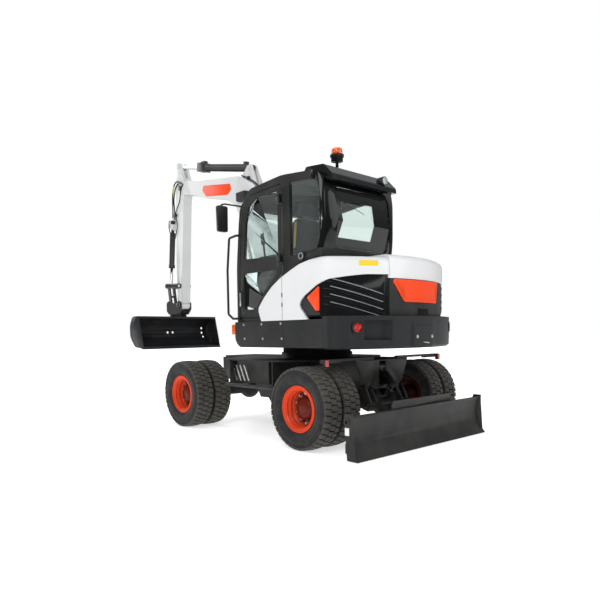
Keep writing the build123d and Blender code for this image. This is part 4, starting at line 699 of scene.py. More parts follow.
def prism(shell: Shell, outline: Sequence[Vector], depth: Vector, round_mm: float = 0.0) -> None:
    """Add a straight prism to a bmesh, with rounded edges.

    Args:
        shell: The bmesh that gets it.
        outline: Corners of one end, in the row frame.
        depth: Way to the other end.
        round_mm: Radius of all its edges.
    """
    low = [shell.verts.new(corner) for corner in outline]
    high = [shell.verts.new(corner + depth) for corner in outline]
    faces = [shell.faces.new(low[::-1]), shell.faces.new(high), *band(shell, low, high)]
    if round_mm:
        edges = list({edge for face in faces for edge in face.edges})
        bmesh.ops.bevel(shell, geom=edges, offset=round_mm * MM, segments=ROUNDING_SEGMENTS, affect="EDGES",
                        profile=0.5, clamp_overlap=True)


def block(shell: Shell, x: Point, y: Point, z: Point, round_mm: float = 0.0) -> None:
    """Add a block between the low and high value of each axis, in machine millimetres."""
    corners = [at(x[0], y[0], z[0]), at(x[1], y[0], z[0]), at(x[1], y[1], z[0]), at(x[0], y[1], z[0])]
    prism(shell, corners, Vector((0, 0, (z[1] - z[0]) * MM)), round_mm)


def tube_mesh(name: str, points: Sequence[Vector], radius_mm: float) -> Mesh:
    """Closed tube along a route that bends evenly between its points.

    Args:
        name: Name of the mesh.
        points: The route's points, in the row frame.
        radius_mm: Radius of the tube.

    Returns:
        The tube's mesh.
    """
    curve = bpy.data.curves.new(name, "CURVE")
    curve.dimensions = "3D"
    curve.bevel_depth = radius_mm * MM
    curve.bevel_resolution = 1
    curve.use_fill_caps = True
    curve.resolution_u = TUBE_STEPS
    spline = curve.splines.new("NURBS")
    spline.points.add(len(points) - 1)
    for spot, point in zip(spline.points, points):
        spot.co = (*point, 1.0)
    spline.order_u = 3
    spline.use_endpoint_u = True
    mesh = made_plain(bpy.data.objects.new(name, curve))
    bpy.data.curves.remove(curve)
    shell = bmesh.new()
    shell.from_mesh(mesh)
    bpy.data.meshes.remove(mesh)
    return mesh_of(shell, name)


class Repeats:
    """Geometry Nodes trees that make what repeats, and the work of turning their result into a plain mesh."""

    @staticmethod
    def begun(name: str, **inputs: str) -> tuple[Tree, bpy.types.NodeOutputs]:
        """Start a tree with a Geometry input and output.

        Args:
            name: The tree's name.
            **inputs: Kind of each further input by its name.

        Returns:
            The tree and its inputs as sockets.
        """
        tree = bpy.data.node_groups.new(name, "GeometryNodeTree")
        tree.interface.new_socket("Geometry", in_out="OUTPUT", socket_type="NodeSocketGeometry")
        for label, kind in {"Geometry": "Geometry", **inputs, "Finish": "Material"}.items():
            tree.interface.new_socket(label, in_out="INPUT", socket_type="NodeSocket" + kind)
        return tree, add(tree, "NodeGroupInput").outputs

    @staticmethod
    def ended(tree: Tree, given: bpy.types.NodeOutputs, inputs: dict) -> Tree:
        """Copy a piece onto points, make the copies real, give them the finish and put them out."""
        copies = add(tree, "GeometryNodeInstanceOnPoints", inputs)
        real = add(tree, "GeometryNodeRealizeInstances", {0: copies.outputs[0]})
        finish = {"Geometry": real.outputs[0], "Material": given["Finish"]}
        dressed = add(tree, "GeometryNodeSetMaterial", finish)
        add(tree, "NodeGroupOutput", {0: dressed.outputs[0]})
        return tree

    @classmethod
    @lru_cache(maxsize=None)
    def ring(cls) -> Tree:
        """Tree with inputs Count, Start and Centre that copies a piece around the Y axis through a point."""
        tree, given = cls.begun("ring_of_copies", Count="Int", Start="Float", Centre="Vector")
        spots = add(tree, "GeometryNodeMeshLine", {"Count": given["Count"], "Offset": (0, 0, 0),
                                                   "Start Location": given["Centre"]})
        index = add(tree, "GeometryNodeInputIndex").outputs[0]
        step = computed(tree, "DIVIDE", 2 * math.pi, given["Count"])
        angle = computed(tree, "MULTIPLY_ADD", index, step, given["Start"])
        turn = add(tree, "ShaderNodeCombineXYZ", {1: angle}).outputs[0]
        return cls.ended(tree, given, {"Points": spots.outputs[0], "Instance": given["Geometry"],
                                       "Rotation": turn})

    @classmethod
    @lru_cache(maxsize=None)
    def row(cls) -> Tree:
        """Tree with inputs Count and Step that copies a piece along a straight way."""
        tree, given = cls.begun("row_of_copies", Count="Int", Step="Vector")
        spots = add(tree, "GeometryNodeMeshLine", {"Count": given["Count"], "Offset": given["Step"]})
        return cls.ended(tree, given, {"Points": spots.outputs[0], "Instance": given["Geometry"]})

    @classmethod
    @lru_cache(maxsize=None)
    def spots(cls) -> Tree:
        """Tree with an input Copy that sets one object on each vertex, its Z along the attribute facing."""
        tree, given = cls.begun("copies_on_spots", Copy="Object")
        form = add(tree, "GeometryNodeObjectInfo", {"Object": given["Copy"]}).outputs["Geometry"]
        way = add(tree, "GeometryNodeInputNamedAttribute", {"Name": "facing"}, data_type="FLOAT_VECTOR")
        turn = add(tree, "FunctionNodeAlignRotationToVector", {"Vector": way.outputs[0]}, axis="Z").outputs[0]
        return cls.ended(tree, given, {"Points": given["Geometry"], "Instance": form, "Rotation": turn})

    @staticmethod
    def plain(name: str, mesh: Mesh, tree: Tree, look: Look, **inputs: object) -> Mesh:
        """Run a tree on a mesh and keep the result as a plain mesh.

        Args:
            name: Name of the result.
            mesh: What the tree is given.
            tree: One of this class's trees.
            look: The finish that the copies get.
            **inputs: The tree's other inputs by name.

        Returns:
            The plain mesh.
        """
        carrier = bpy.data.objects.new(name, mesh)
        modifier = carrier.modifiers.new("repeat", "NODES")
        modifier.node_group = tree
        inputs["Finish"] = look.value.material()
        for item in tree.interface.items_tree:
            if item.item_type == "SOCKET" and item.in_out == "INPUT" and item.name in inputs:
                modifier[item.identifier] = inputs[item.name]
        result = made_plain(carrier)
        result.name = name
        return result


def hexagon_bolt(across_mm: float, high_mm: float) -> Mesh:
    """Bolt's washer and six-sided head, standing on the origin along Z."""
    shell = bmesh.new()
    washer, head = across_mm * WASHER_PART, across_mm * CORNER_PART
    low, top = WASHER_LOW_MM, WASHER_TOP_MM
    down, inwards = BOLT_CHAMFER_MM
    lathe(shell, Vector(), UP, [(low, 0), (low, washer), (top, washer), (top, 0)], 20)
    side = [(top, 0), (top, head), (high_mm - down, head), (high_mm, head - inwards), (high_mm, 0)]
    lathe(shell, Vector(), UP, side, 6)
    return mesh_of(shell, "bolt")


def bolts(name: str, body: str, places: Sequence[tuple[Point, Vector]], across_mm: float,
          high_mm: float) -> None:
    """Set zinc-plated bolts on a body.

    Args:
        name: Name of the piece that they make.
        body: The body that carries them.
        places: For each bolt its place in machine millimetres and the way it faces.
        across_mm: Size of the head over its flats.
        high_mm: Height of the head.
    """
    mesh = bpy.data.meshes.new(name)
    mesh.from_pydata([at(*place) for place, _ in places], [], [])
    facing = mesh.attributes.new("facing", "FLOAT_VECTOR", "POINT")
    facing.data.foreach_set("vector", [value for _, way in places for value in way])
    form = bpy.data.objects.new("bolt", hexagon_bolt(across_mm, high_mm))
    result = Repeats.plain(name, mesh, Repeats.spots(), Look.ZINC, Copy=form)
    bpy.data.objects.remove(form)
    place_piece(name, result, Look.ZINC, body)


def both(places: Sequence[Point], way: Vector) -> list[tuple[Point, Vector]]:
    """Places on the left of the machine and their twins on the right, with the way that each faces."""
    mirror = Vector((way.x, -way.y, way.z))
    return [(place, way) for place in places] + [((x, -y, z), mirror) for x, y, z in places]


def upright(x: Point, y: float, z: Point) -> list[Point]:
    """Corners of an upright rectangle on a side wall, between two values of X and two of Z."""
    return [(x[0], y, z[0]), (x[1], y, z[0]), (x[1], y, z[1]), (x[0], y, z[1])]


def plates(name: str, look: Look, body: str, outlines: Sequence[tuple[Sequence[Point], Vector]],
           rise_mm: float, round_mm: float = 0.0) -> None:
    """Put flat plates on a body.

    Args:
        name: Name of the piece that they make.
        look: Its finish.
        body: The body that carries them.
        outlines: For each plate its corners on the surface, in machine millimetres, and the way it faces.
        rise_mm: How far the plates stand proud.
        round_mm: Radius of their edges.
    """
    shell = bmesh.new()
    for corners, way in outlines:
        prism(shell, [at(*corner) - way * FLAT_SINK_MM * MM for corner in corners],
              way * (rise_mm + FLAT_SINK_MM) * MM, round_mm)
    place_shell(name, shell, look, body)


def curved_patch(shell: Shell, radius: float, y: Point, z: Point, rise_mm: float, steps: int) -> None:
    """Add a plate that lies on the tail's round wall, between two values of Y and two of Z."""
    rows = []
    for index in range(steps + 1):
        side = y[0] + (y[1] - y[0]) * index / steps
        inner, outer = (-math.sqrt(r * r - side * side) for r in (radius - ROUND_SINK_MM, radius + rise_mm))
        rows.append([shell.verts.new(at(x, side, level)) for x, level in
                     ((inner, z[0]), (outer, z[0]), (outer, z[1]), (inner, z[1]))])
    loft(shell, rows)


def hose(name: str, points: Sequence[Point], radius_mm: float, body: str | None, look: Look = Look.HOSE,
         across: tuple[str, str, Point, Point] | None = None) -> None:
    """Lay a hose or pipe that is held along its run.

    Args:
        name: The piece's name.
        points: Its route, in machine millimetres.
        radius_mm: Its radius.
        body: The body that carries it.
        look: Its finish.
        across: For one that crosses a joint, both bodies and the points where it leaves the first and reaches
            the second; only whether it is given is used.
    """
    piece = place_piece(name, tube_mesh(name, [at(*point) for point in points], radius_mm), look, body)
    if across:
        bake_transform(piece)


@dataclass
class Panels:
    """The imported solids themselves, as merged copies that are shaded smooth and take their finishes."""

    looks: ClassVar[dict[Look, tuple[str, ...]]] = {
        Look.WHITE: ("body_sides", "hood_top"),
        Look.BOOM: ("boom", "arm"),
        Look.CHARCOAL: ("side_skirts", "hood_panel", "house_frame", "rear_lamp_arms", "blade", "swing_post"),
        Look.CAB: ("cab_frame", "door_frame"),
        Look.FRAME: ("chassis_frame", "side_steps"),
        Look.BLACK: ("rocker", "link", "quick_coupler", "boom_cylinder_barrel", "arm_cylinder_barrel",
                     "bucket_cylinder_barrel", "blade_cylinder_barrel"),
        Look.ORANGE: ("accent_panels", "hood_badge"),
        Look.RIM: ("rims_rear_left", "rims_rear_right", "rims_front_left", "rims_front_right"),
        Look.AXLE: ("rear_axle", "front_axle", "knuckle_left", "knuckle_right"),
        Look.CAST: ("counterweight",),
        Look.ENGINE: ("engine_block",),
        Look.CHROME: ("steering_rod", "boom_cylinder_rod", "arm_cylinder_rod", "bucket_cylinder_rod",
                      "blade_cylinder_rod"),
        Look.GLOSS: ("corner_grilles", "cab_cowl"),
        Look.PLASTIC: ("steering_column", "consoles", "cab_lights", "cab_fittings", "mirror", "boom_lamp"),
        Look.GLASS: ("cab_glass", "door_glass"),
        Look.RED: ("tail_lamps", "chassis_lamps"),
        Look.AMBER: ("amber_lamps",),
        Look.BUCKET: ("bucket",),
    }

    # nodes whose walls run straight along Y, and along Z
    straight: ClassVar[dict[int, tuple[str, ...]]] = {
        1: ("blade", "boom", "arm", "bucket"),
        2: ("corner_grilles", "counterweight", "hood_panel", "hood_badge", "side_skirts"),
    }

    def build(self, objects: dict[str, bpy.types.Object], bodies: dict[str, str],
              slots: dict[str, str]) -> None:
        """Dress every node.

        Args:
            objects: The object of each node.
            bodies: The body of each node.
            slots: The record's material slot of each node.
        """
        for look, nodes in self.looks.items():
            for node in nodes:
                if slots[node] != look.value.slot:
                    raise ValueError(f"{node} belongs to slot {slots[node]}, not {look.value.slot}")
                name = node + "_skin"
                piece = place_piece(name, merged(objects[node].data, name), look, bodies[node], (node,))
                for axis, nodes_along in self.straight.items():
                    if node in nodes_along:
                        trued(piece.data, axis)


@dataclass(frozen=True)
class BoltCircle:
    """Bolts in a circle on a wheel's outer side. Sizes in millimetres."""

    count: int
    radius: float
    face: float
    across: float
    high: float
    look: Look


@dataclass
class TwinWheels:
    """Four twin wheels: tyres with block lugs, and nuts on their hubs. Sizes in millimetres."""

    radius: float = 420.0
    width: float = 228.0
    middles: tuple[float, float] = (986.0, 722.0)
    axles: tuple[tuple[str, float], ...] = (("rear", -840.0), ("front", 1360.0))
    lug_height: float = 20.0
    block_length: float = 50.0
    blocks: int = 40
    # both sides of each column of blocks, and how far it is turned, in blocks
    columns: tuple[tuple[float, float, float], ...] = (
        (-107.0, -42.0, 0.0), (-34.0, 34.0, 0.5), (42.0, 107.0, 0.0))
    block_slant: float = 6.0
    block_root: float = 6.0
    block_foot: float = 4.0
    block_edge: float = 3.0
    # the shoulder's blocks fall away outside this place, as the casing does under them
    shoulder: float = 100.0
    shoulder_drop: float = 8.0
    tip_gap: float = 0.6
    bead: float = 206.0
    case_sides: int = 96
    rim_sides: int = 72
    circles: tuple[tuple[str, BoltCircle], ...] = (
        ("wheel_nuts", BoltCircle(10, 152.0, 957.9, 27.0, 24.0, Look.ZINC)),
        ("hub_bolts", BoltCircle(8, 62.0, 1021.0, 13.0, 6.0, Look.RIM)),
    )
    # rolled lip, two steps inside the barrel and the disc's edge: closed sections as (along, radius)
    steps: tuple[tuple[tuple[float, float], ...], ...] = (
        ((1075, 233), (1080, 238), (1085, 236), (1086, 230), (1082, 226), (1075, 227)),
        ((1046, 197), (1052, 190), (1060, 190), (1066, 197)),
        ((1000, 197), (1004, 184), (1016, 184), (1022, 197)),
        ((958, 197), (958, 176), (964, 178), (980, 197)),
    )

    def carcass(self, shell: Shell, centre: Vector) -> None:
        """Rounded casing with its bead, sidewall rings and tread band."""
        half = self.width / 2
        valley = self.radius - self.lug_height
        side = [(62, self.bead), (74, self.bead + 6), (84, 232), (96, 250), (97, 256), (103, 262),
                (half - 3, 290), (half, 312), (half - 1, 332), (half, 338), (half - 4, 344), (half - 6, 362),
                (104, valley - 10), (92, valley)]
        profile = [(-along, radius) for along, radius in side] + side[::-1]
        lathe(shell, centre, LEFT, profile, self.case_sides)

    def block(self, low: float, high: float) -> Mesh:
        """One tread block at the top of a wheel that stands at the origin, between two places across it."""
        shell = bmesh.new()
        half = self.block_length / 2
        root, tip = self.radius - self.lug_height - self.block_root, self.radius - self.tip_gap
        rows = []
        for grow, level in ((self.block_foot, root), (0.0, tip)):
            corners = []
            for u, v, way in ((-half - grow, low - grow, -1), (-half - grow, high + grow, 1),
                              (half + grow, high + grow, 1), (half + grow, low - grow, -1)):
                drop = self.shoulder_drop if abs(v) > self.shoulder else 0.0
                corners.append(shell.verts.new(Vector((u + way * self.block_slant, v, level - drop)) * MM))
            rows.append(corners)
        shell.faces.new(rows[1])
        band(shell, *rows)
        shell.faces.new(rows[0])
        top = [edge for edge in shell.edges if all(vert in rows[1] for vert in edge.verts)]
        bmesh.ops.bevel(shell, geom=top, offset=self.block_edge * MM, segments=1, affect="EDGES", profile=0.5)
        return mesh_of(shell, "block")

    def tread(self, centre: Vector, name: str) -> Mesh:
        """Every block of one tyre, in three staggered columns."""
        shell = bmesh.new()
        pitch = 2 * math.pi / self.blocks
        for low, high, shift in self.columns:
            shell.from_mesh(Repeats.plain(name, self.block(low, high), Repeats.ring(), Look.TREAD,
                                          Count=self.blocks, Start=shift * pitch, Centre=tuple(centre)))
        return as_mesh(shell, name)

    def ring_of_bolts(self, name: str, body: str, axle_x: float, sign: int, circle: BoltCircle) -> None:
        """Bolts in a circle on a wheel's outer side."""
        bolt = hexagon_bolt(circle.across, circle.high)
        turn = Matrix.Rotation(-sign * math.pi / 2, 4, "X")
        bolt.transform(Matrix.Translation(Vector((0, sign * circle.face, circle.radius)) * MM) @ turn)
        ring = Repeats.plain(name, bolt, Repeats.ring(), circle.look, Count=circle.count, Start=0.0,
                             Centre=tuple(at(axle_x, 0, self.radius)))
        place_piece(name, ring, circle.look, body)

    def rim_steps(self, name: str, body: str, axle_x: float, sign: int) -> None:
        """Rolled lip of the outer rim, the steps inside its barrel and the edge of its disc."""
        shell = bmesh.new()
        for profile in self.steps:
            lathe(shell, at(axle_x, 0, self.radius), LEFT * sign, profile, self.rim_sides)
        place_shell(name, shell, Look.RIM, body)

    def build(self) -> None:
        """Make the tyres, rim steps and bolts of all four corners."""
        for end, axle_x in self.axles:
            for side, sign in SIDE_SIGNS:
                corner = f"{end}_{side}"
                body = f"wheels_{corner}"
                cases, treads = bmesh.new(), bmesh.new()
                for middle in self.middles:
                    centre = at(axle_x, sign * middle, self.radius)
                    self.carcass(cases, centre)
                    treads.from_mesh(self.tread(centre, body))
                place_shell(f"tyre_cases_{corner}", cases, Look.TYRE, body, (f"tyres_{corner}",))
                tread = as_mesh(treads, f"tyre_treads_{corner}")
                place_piece(tread.name, tread, Look.TREAD, body)
                self.rim_steps(f"rim_steps_{corner}", body, axle_x, sign)
                for name, circle in self.circles:
                    self.ring_of_bolts(f"{name}_{corner}", body, axle_x, sign, circle)


@dataclass
class Undercarriage:
    """Fins of the step boxes, the blade's label and rings, and its cylinder's hoses."""

    fin_x: float = 511.0
    fin_pitch: float = 78.0
    fins: int = 4
    fin_z: float = 716.0
    fin_half: float = 92.0
    fin_lean: float = 92.0
    fin_wide: float = 24.0
    fin_deep: float = 36.0
    fin_side: float = 790.0
    blade_face: float = 1095.0
    eye: tuple[float, float] = (-1512.0, 365.0)

    def build(self) -> None:
        """Make every piece."""
        self.step_fins()
        self.blade()
        self.hoses()

    def step_fins(self) -> None:
        """Bright slanted fins in the step boxes' openings."""
        for side, sign in SIDE_SIGNS:
            shell = bmesh.new()
            low, high = self.fin_z - self.fin_half, self.fin_z + self.fin_half
            x, top_x = self.fin_x, self.fin_x + self.fin_lean
            corners = [(x, low), (x + self.fin_wide, low), (top_x + self.fin_wide, high), (top_x, high)]
            prism(shell, [at(u, sign * self.fin_side, v) for u, v in corners],
                  Vector((0, sign * self.fin_deep * MM, 0)))
            fins = Repeats.plain(f"step_fins_{side}", mesh_of(shell, "fin"), Repeats.row(), Look.ZINC,
                                 Count=self.fins, Step=(-self.fin_pitch * MM, 0.0, 0.0))
            place_piece(f"step_fins_{side}", fins, Look.ZINC, "chassis")

    def blade(self) -> None:
        """Rings round the tie-down eyes and a blank label on the left end plate."""
        x, z = self.eye
        turned("tie_down_rings", Look.CHARCOAL, "blade",
               [(at(x, sign * self.blade_face, z), way) for sign, way in BOTH_SIDES],
               [(-1, 20), (-1, 36), (7, 34), (7, 20)])
        label = upright((x - 26, x + 26), self.blade_face, (240, 310))
        plates("blade_label", Look.STICKER, "blade", [(label, LEFT)], 0.8)

    def hoses(self) -> None:
        """Two hoses from the frame to the blade cylinder."""
        for index, side in enumerate((58, 84)):
            route = [(-900, side, 700), (-960, side + 6, 620), (-1030, side + 10, 520),
                     (-1075, side - 5, 470), (-1130, side - 30, 520), (-1128, side - 40, 600)]
            hose(f"blade_hose_{index}", route, 9.0, "chassis")


@dataclass
class House:
    """Bolts, seams, hinges, punched sheet, lamp rings, slat lips with a painted highlight and labels of the
    slewing body.
    """

    side: float = 975.0
    recess: float = 961.0
    tail: float = 1560.0
    hood: float = 1480.0
    skirt_bolts: tuple[Point, ...] = ((167, 1273), (-153, 1273), (-471, 1273), (152, 1117), (-169, 1117),
                                      (-486, 1117))
    # X, lowest and highest Z of each joint, and on how many sides it is
    seams: tuple[tuple[float, float, float, int], ...] = ((-508, 1025, 1302, 2), (-500, 1312, 1746, 1))
    hinge_levels: tuple[float, ...] = (1464, 1566)
    slat_tops: tuple[float, ...] = (1690, 1615, 1540, 1465)
    slat_sides: tuple[float, float] = (925, 450)
    slat_sides_right: tuple[float, float] = (925, 560)
    slat_start: float = 985.0
    slat_radius: float = 1475.0
    slat_fall: float = 0.3154
    lip_radius: float = 4.5
    lip_rise: float = 20.0
    lip_steps: int = 8
    lamp_angle: float = 29.5
    lamp_z: float = 1218.0

    def build(self) -> None:
        """Make every piece."""
        bolts("skirt_bolts", "house", both([(x, self.side, z) for x, z in self.skirt_bolts], LEFT), 17.0, 6.0)
        self.panel_seams()
        self.mesh()
        self.lamp_rims()
        self.slat_lips()
        self.tail_dress()

    def panel_seams(self) -> None:
        """Dark joints between the side panels, and the small hinges of the left flap."""
        strips = [(upright((x - 2, x + 2), sign * self.side, (low, high)), way)
                  for x, low, high, sides in self.seams for sign, way in BOTH_SIDES[:sides]]
        plates("panel_seams", Look.PLASTIC, "house", strips, 0.6)
        hinges = [(upright((-506, -494), self.side, (z - 22, z + 22)), LEFT) for z in self.hinge_levels]
        plates("flap_hinges", Look.PLASTIC, "house", hinges, 5.0, 2.0)

    def mesh(self) -> None:
        """Punched sheet before and below the orange panels."""
        corners = [(-872, 1345), (-760, 1456), (-838, 1522), (-856, 1514), (-980, 1379), (-1040, 1379),
                   (-1040, 1345)]
        plates("side_mesh", Look.MESH, "house",
               [([(x, sign * self.recess, z) for x, z in corners], way) for sign, way in BOTH_SIDES], 2.0)

    def lamp_rims(self) -> None:
        """Rings round the red lamps in the tail."""
        angle = math.radians(self.lamp_angle)
        ways = [Vector((-math.cos(angle), sign * math.sin(angle), 0)) for sign in (1, -1)]
        turned("lamp_rims", Look.PLASTIC, "house",
               [(at(way.x * self.tail, way.y * self.tail, self.lamp_z), way) for way in ways],
               [(-14, 46.4), (-14, 58), (5, 58), (9, 52), (9, 46.4)], 48)

    def slat_lips(self) -> None:
        """Rounded lip along the upper edge of each slanting slat, on the round wall, grey as a painted
        highlight.
        """
        shell = bmesh.new()
        for top in self.slat_tops:
            for sign in (1, -1):
                near, far = self.slat_sides if sign > 0 else self.slat_sides_right
                run = []
                for index in range(self.lip_steps + 1):
                    side = near + (far - near) * index / self.lip_steps
                    run.append(at(-math.sqrt(self.slat_radius ** 2 - side ** 2), sign * side,
                                  top + self.lip_rise - self.slat_fall * (self.slat_start - side)))
                lip = tube_mesh("lip", run, self.lip_radius)
                shell.from_mesh(lip)
                bpy.data.meshes.remove(lip)
        place_shell("slat_lips", shell, Look.LIP, "house")

    def tail_dress(self) -> None:
        """Blank label and plate, the hood's two joints, and the service cover's bolts and small hook."""
        for name, look, body, sides, levels, rise, steps in (
                ("tail_label", Look.LABEL, "house", ((506, 690),), (1812, 1862), 1.2, 8),
                ("tail_plate", Look.GLOSS, "hood", ((-215, -18),), (1341, 1406), 3.0, 8),
                ("hood_joints", Look.GLOSS, "hood", ((-401, -395), (-471, -465)), (1338, 1618), 0.8, 1)):
            shell = bmesh.new()
            for side in sides:
                curved_patch(shell, self.hood, side, levels, rise, steps)
            place_shell(name, shell, look, body)
        bolts("cover_bolts", "house", [((-1564, 104, 1122), BACK), ((-1560, -152, 1122), BACK)], 24.0, 9.0)
        hook = [(-1560, -58, 1066), (-1600, -52, 1062), (-1604, -24, 1058), (-1600, 4, 1062),
                (-1564, 10, 1066)]
        hose("cover_hook", hook, 6.0, "house", Look.ZINC)


@dataclass
class Cab:
    """Seat, belt, door handle and catch, window border, lamp face and controls of the cab."""

    side: float = 944.0
    catch: tuple[float, float] = (-780.0, 1936.0)
    seat_y: tuple[float, float] = (320.0, 760.0)
    cushion_steps: int = 12
    cushion_pull: float = 0.16
    border_y: tuple[float, float] = (-50.0, 730.0)
    border_steps: int = 4
    border_lift: float = 3.0
    border_thick: float = 1.5

    def build(self) -> None:
        """Make every piece."""
        self.handle()
        self.latch()
        self.seat()
        self.window_border()
        self.lamp_faces()
        self.fitting_out()

    def handle(self) -> None:
        """Bright door handle over a dark shell."""
        for name, look, corners in (
                ("door_handle_face", Look.ZINC, upright((219, 241), self.side + 22, (1482, 1628))),
                ("door_handle_shell", Look.PLASTIC, upright((190, 250), self.side - 2, (1440, 1660)))):
            plates(name, look, "door", [(corners, LEFT)], 3.0, 1.2)

    def latch(self) -> None:
        """Round catch that holds the open door."""
        turn = (at(self.catch[0], self.side, self.catch[1]), LEFT)
        turned("door_catch_body", Look.PLASTIC, "house", [turn],
               [(-1, 0), (-1, 44), (14, 44), (18, 38), (18, 0)])
        turned("door_catch_ring", Look.ZINC, "house", [turn], [(18, 22), (18, 36), (23, 34), (23, 24)])

    def cushion(self, shell: Shell, section: Sequence[Point], y: Point, crown: float) -> None:
        """Add a padded form: a side section swept across, pulled in at both ends and crowned between."""
        middle = [sum(values) / len(section) for values in zip(*section)]
        rows = []
        for index in range(self.cushion_steps + 1):
            way = index / self.cushion_steps
            side = y[0] + (y[1] - y[0]) * way
            pull = 1.0 - self.cushion_pull * abs(2 * way - 1) ** 4
            swell = crown * (1 - (2 * way - 1) ** 2)
            row = []
            for u, v in section:
                out = Vector((u - middle[0], v - middle[1]))
                out = out * pull + out.normalized() * swell
                row.append(shell.verts.new(at(middle[0] + out.x, side, middle[1] + out.y)))
            rows.append(row)
        loft(shell, rows)

    def seat(self) -> None:
        """Padded seat in place of its plain solid: cushion, back with bolsters and headrest."""
        shell = bmesh.new()
        low, high = self.seat_y
        base = [(-400, 1790), (40, 1800), (58, 1835), (56, 1880), (30, 1898), (-130, 1884), (-390, 1878)]
        back = [(-430, 1868), (-330, 1868), (-312, 1930), (-330, 2060), (-380, 2300), (-398, 2385),
                (-440, 2400), (-500, 2392), (-492, 2200), (-470, 1950)]
        head = [(-418, 2402), (-424, 2520), (-446, 2548), (-494, 2548), (-504, 2500), (-498, 2402)]
        self.cushion(shell, base, (low, high), 5.0)
        self.cushion(shell, back, (low + 20, high - 20), 5.0)
        self.cushion(shell, head, (low + 90, high - 90), 4.0)
        for y in (low + 24, high - 24):
            bolster = [(-330, 1930), (-290, 1950), (-300, 2080), (-350, 2290), (-385, 2290)]
            self.cushion(shell, bolster, (y - 24, y + 24), 4.0)
        block(shell, (-380, -30), (low + 60, high - 60), (1780.5, 1800), 4.0)
        piece = place_shell("seat_pads", shell, Look.CLOTH, "house", ("seat",))
        surface = piece.modifiers.new("pads", "SUBSURF")
        surface.levels = surface.render_levels = 1
        belt = [(x, high - 14, z) for x, z in ((-470, 2075), (-440, 2075), (-462, 2340), (-492, 2340))]
        plates("belt_strip", Look.LABEL, "house", [(belt, LEFT)], 3.0)

    def border_strip(self, shell: Shell, levels: Iterable[tuple[float, float, float, float]]) -> None:
        """Add one strip of the rear window's border.

        Args:
            shell: The bmesh that gets it.
            levels: For each level its Z, the glass's X there, and the Y of the strip's two sides.
        """
        grid = []
        for z, x, start, end in levels:
            sides = [start + (end - start) * index / self.border_steps
                     for index in range(self.border_steps + 1)]
            grid.append([[shell.verts.new(at(x - out, side, z)) for side in sides]
                         for out in (self.border_lift, self.border_lift + self.border_thick)])
        for low, high in zip(grid, grid[1:]):
            for near, far in zip(low, high):
                for index in range(self.border_steps):
                    shell.faces.new((near[index], near[index + 1], far[index + 1], far[index]))
            for index in (0, self.border_steps):
                shell.faces.new((low[0][index], low[1][index], high[1][index], high[0][index]))
        for inner, outer in (grid[0], grid[-1]):
            for index in range(self.border_steps):
                shell.faces.new((inner[index], inner[index + 1], outer[index + 1], outer[index]))

    def window_border(self) -> None:
        """Black border printed on the rear window, wide on the right where it covers the pillar's trim."""
        glass = [(2014, -1016.4), (2060, -1026.5), (2110, -1037.9), (2262, -1072.5), (2275, -1075.0),
                 (2470, -1054.0), (2530, -1045.5), (2596, -1026.0)]
        left = {2110: 700.0, 2262: 664.0, 2275: 662.0, 2470: 690.0}
        right = {2110: 215.0, 2262: 196.0, 2275: 196.0, 2470: 206.0}
        low, high = self.border_y
        shell = bmesh.new()
        for levels, starts, ends in ((glass[:3], {}, {}), (glass[5:], {}, {}), (glass[2:6], {}, right),
                                     (glass[2:6], left, {})):
            self.border_strip(shell, [(z, x, starts.get(z, low), ends.get(z, high)) for z, x in levels])
        place_shell("rear_window_border", shell, Look.GLOSS, "house")

    def lamp_faces(self) -> None:
        """Clear face of the cab's rear lamp."""
        turned("rear_lamp_face", Look.LENS, "house", [(at(-1128, 73, 2744), BACK)],
               [(-1, 0), (-1, 38), (3, 38), (7, 28), (9, 0)])

    def fitting_out(self) -> None:
        """Monitor on its post, and pedals inside the cab."""
        shell = bmesh.new()
        block(shell, (150, 178), (-60, 120), (2090, 2230), 8.0)
        block(shell, (160, 176), (10, 50), (1900, 2092), 4.0)
        for y in (430, 560):
            block(shell, (150, 240), (y, y + 70), (1352, 1372), 4.0)
        place_shell("cab_controls", shell, Look.PLASTIC, "house")


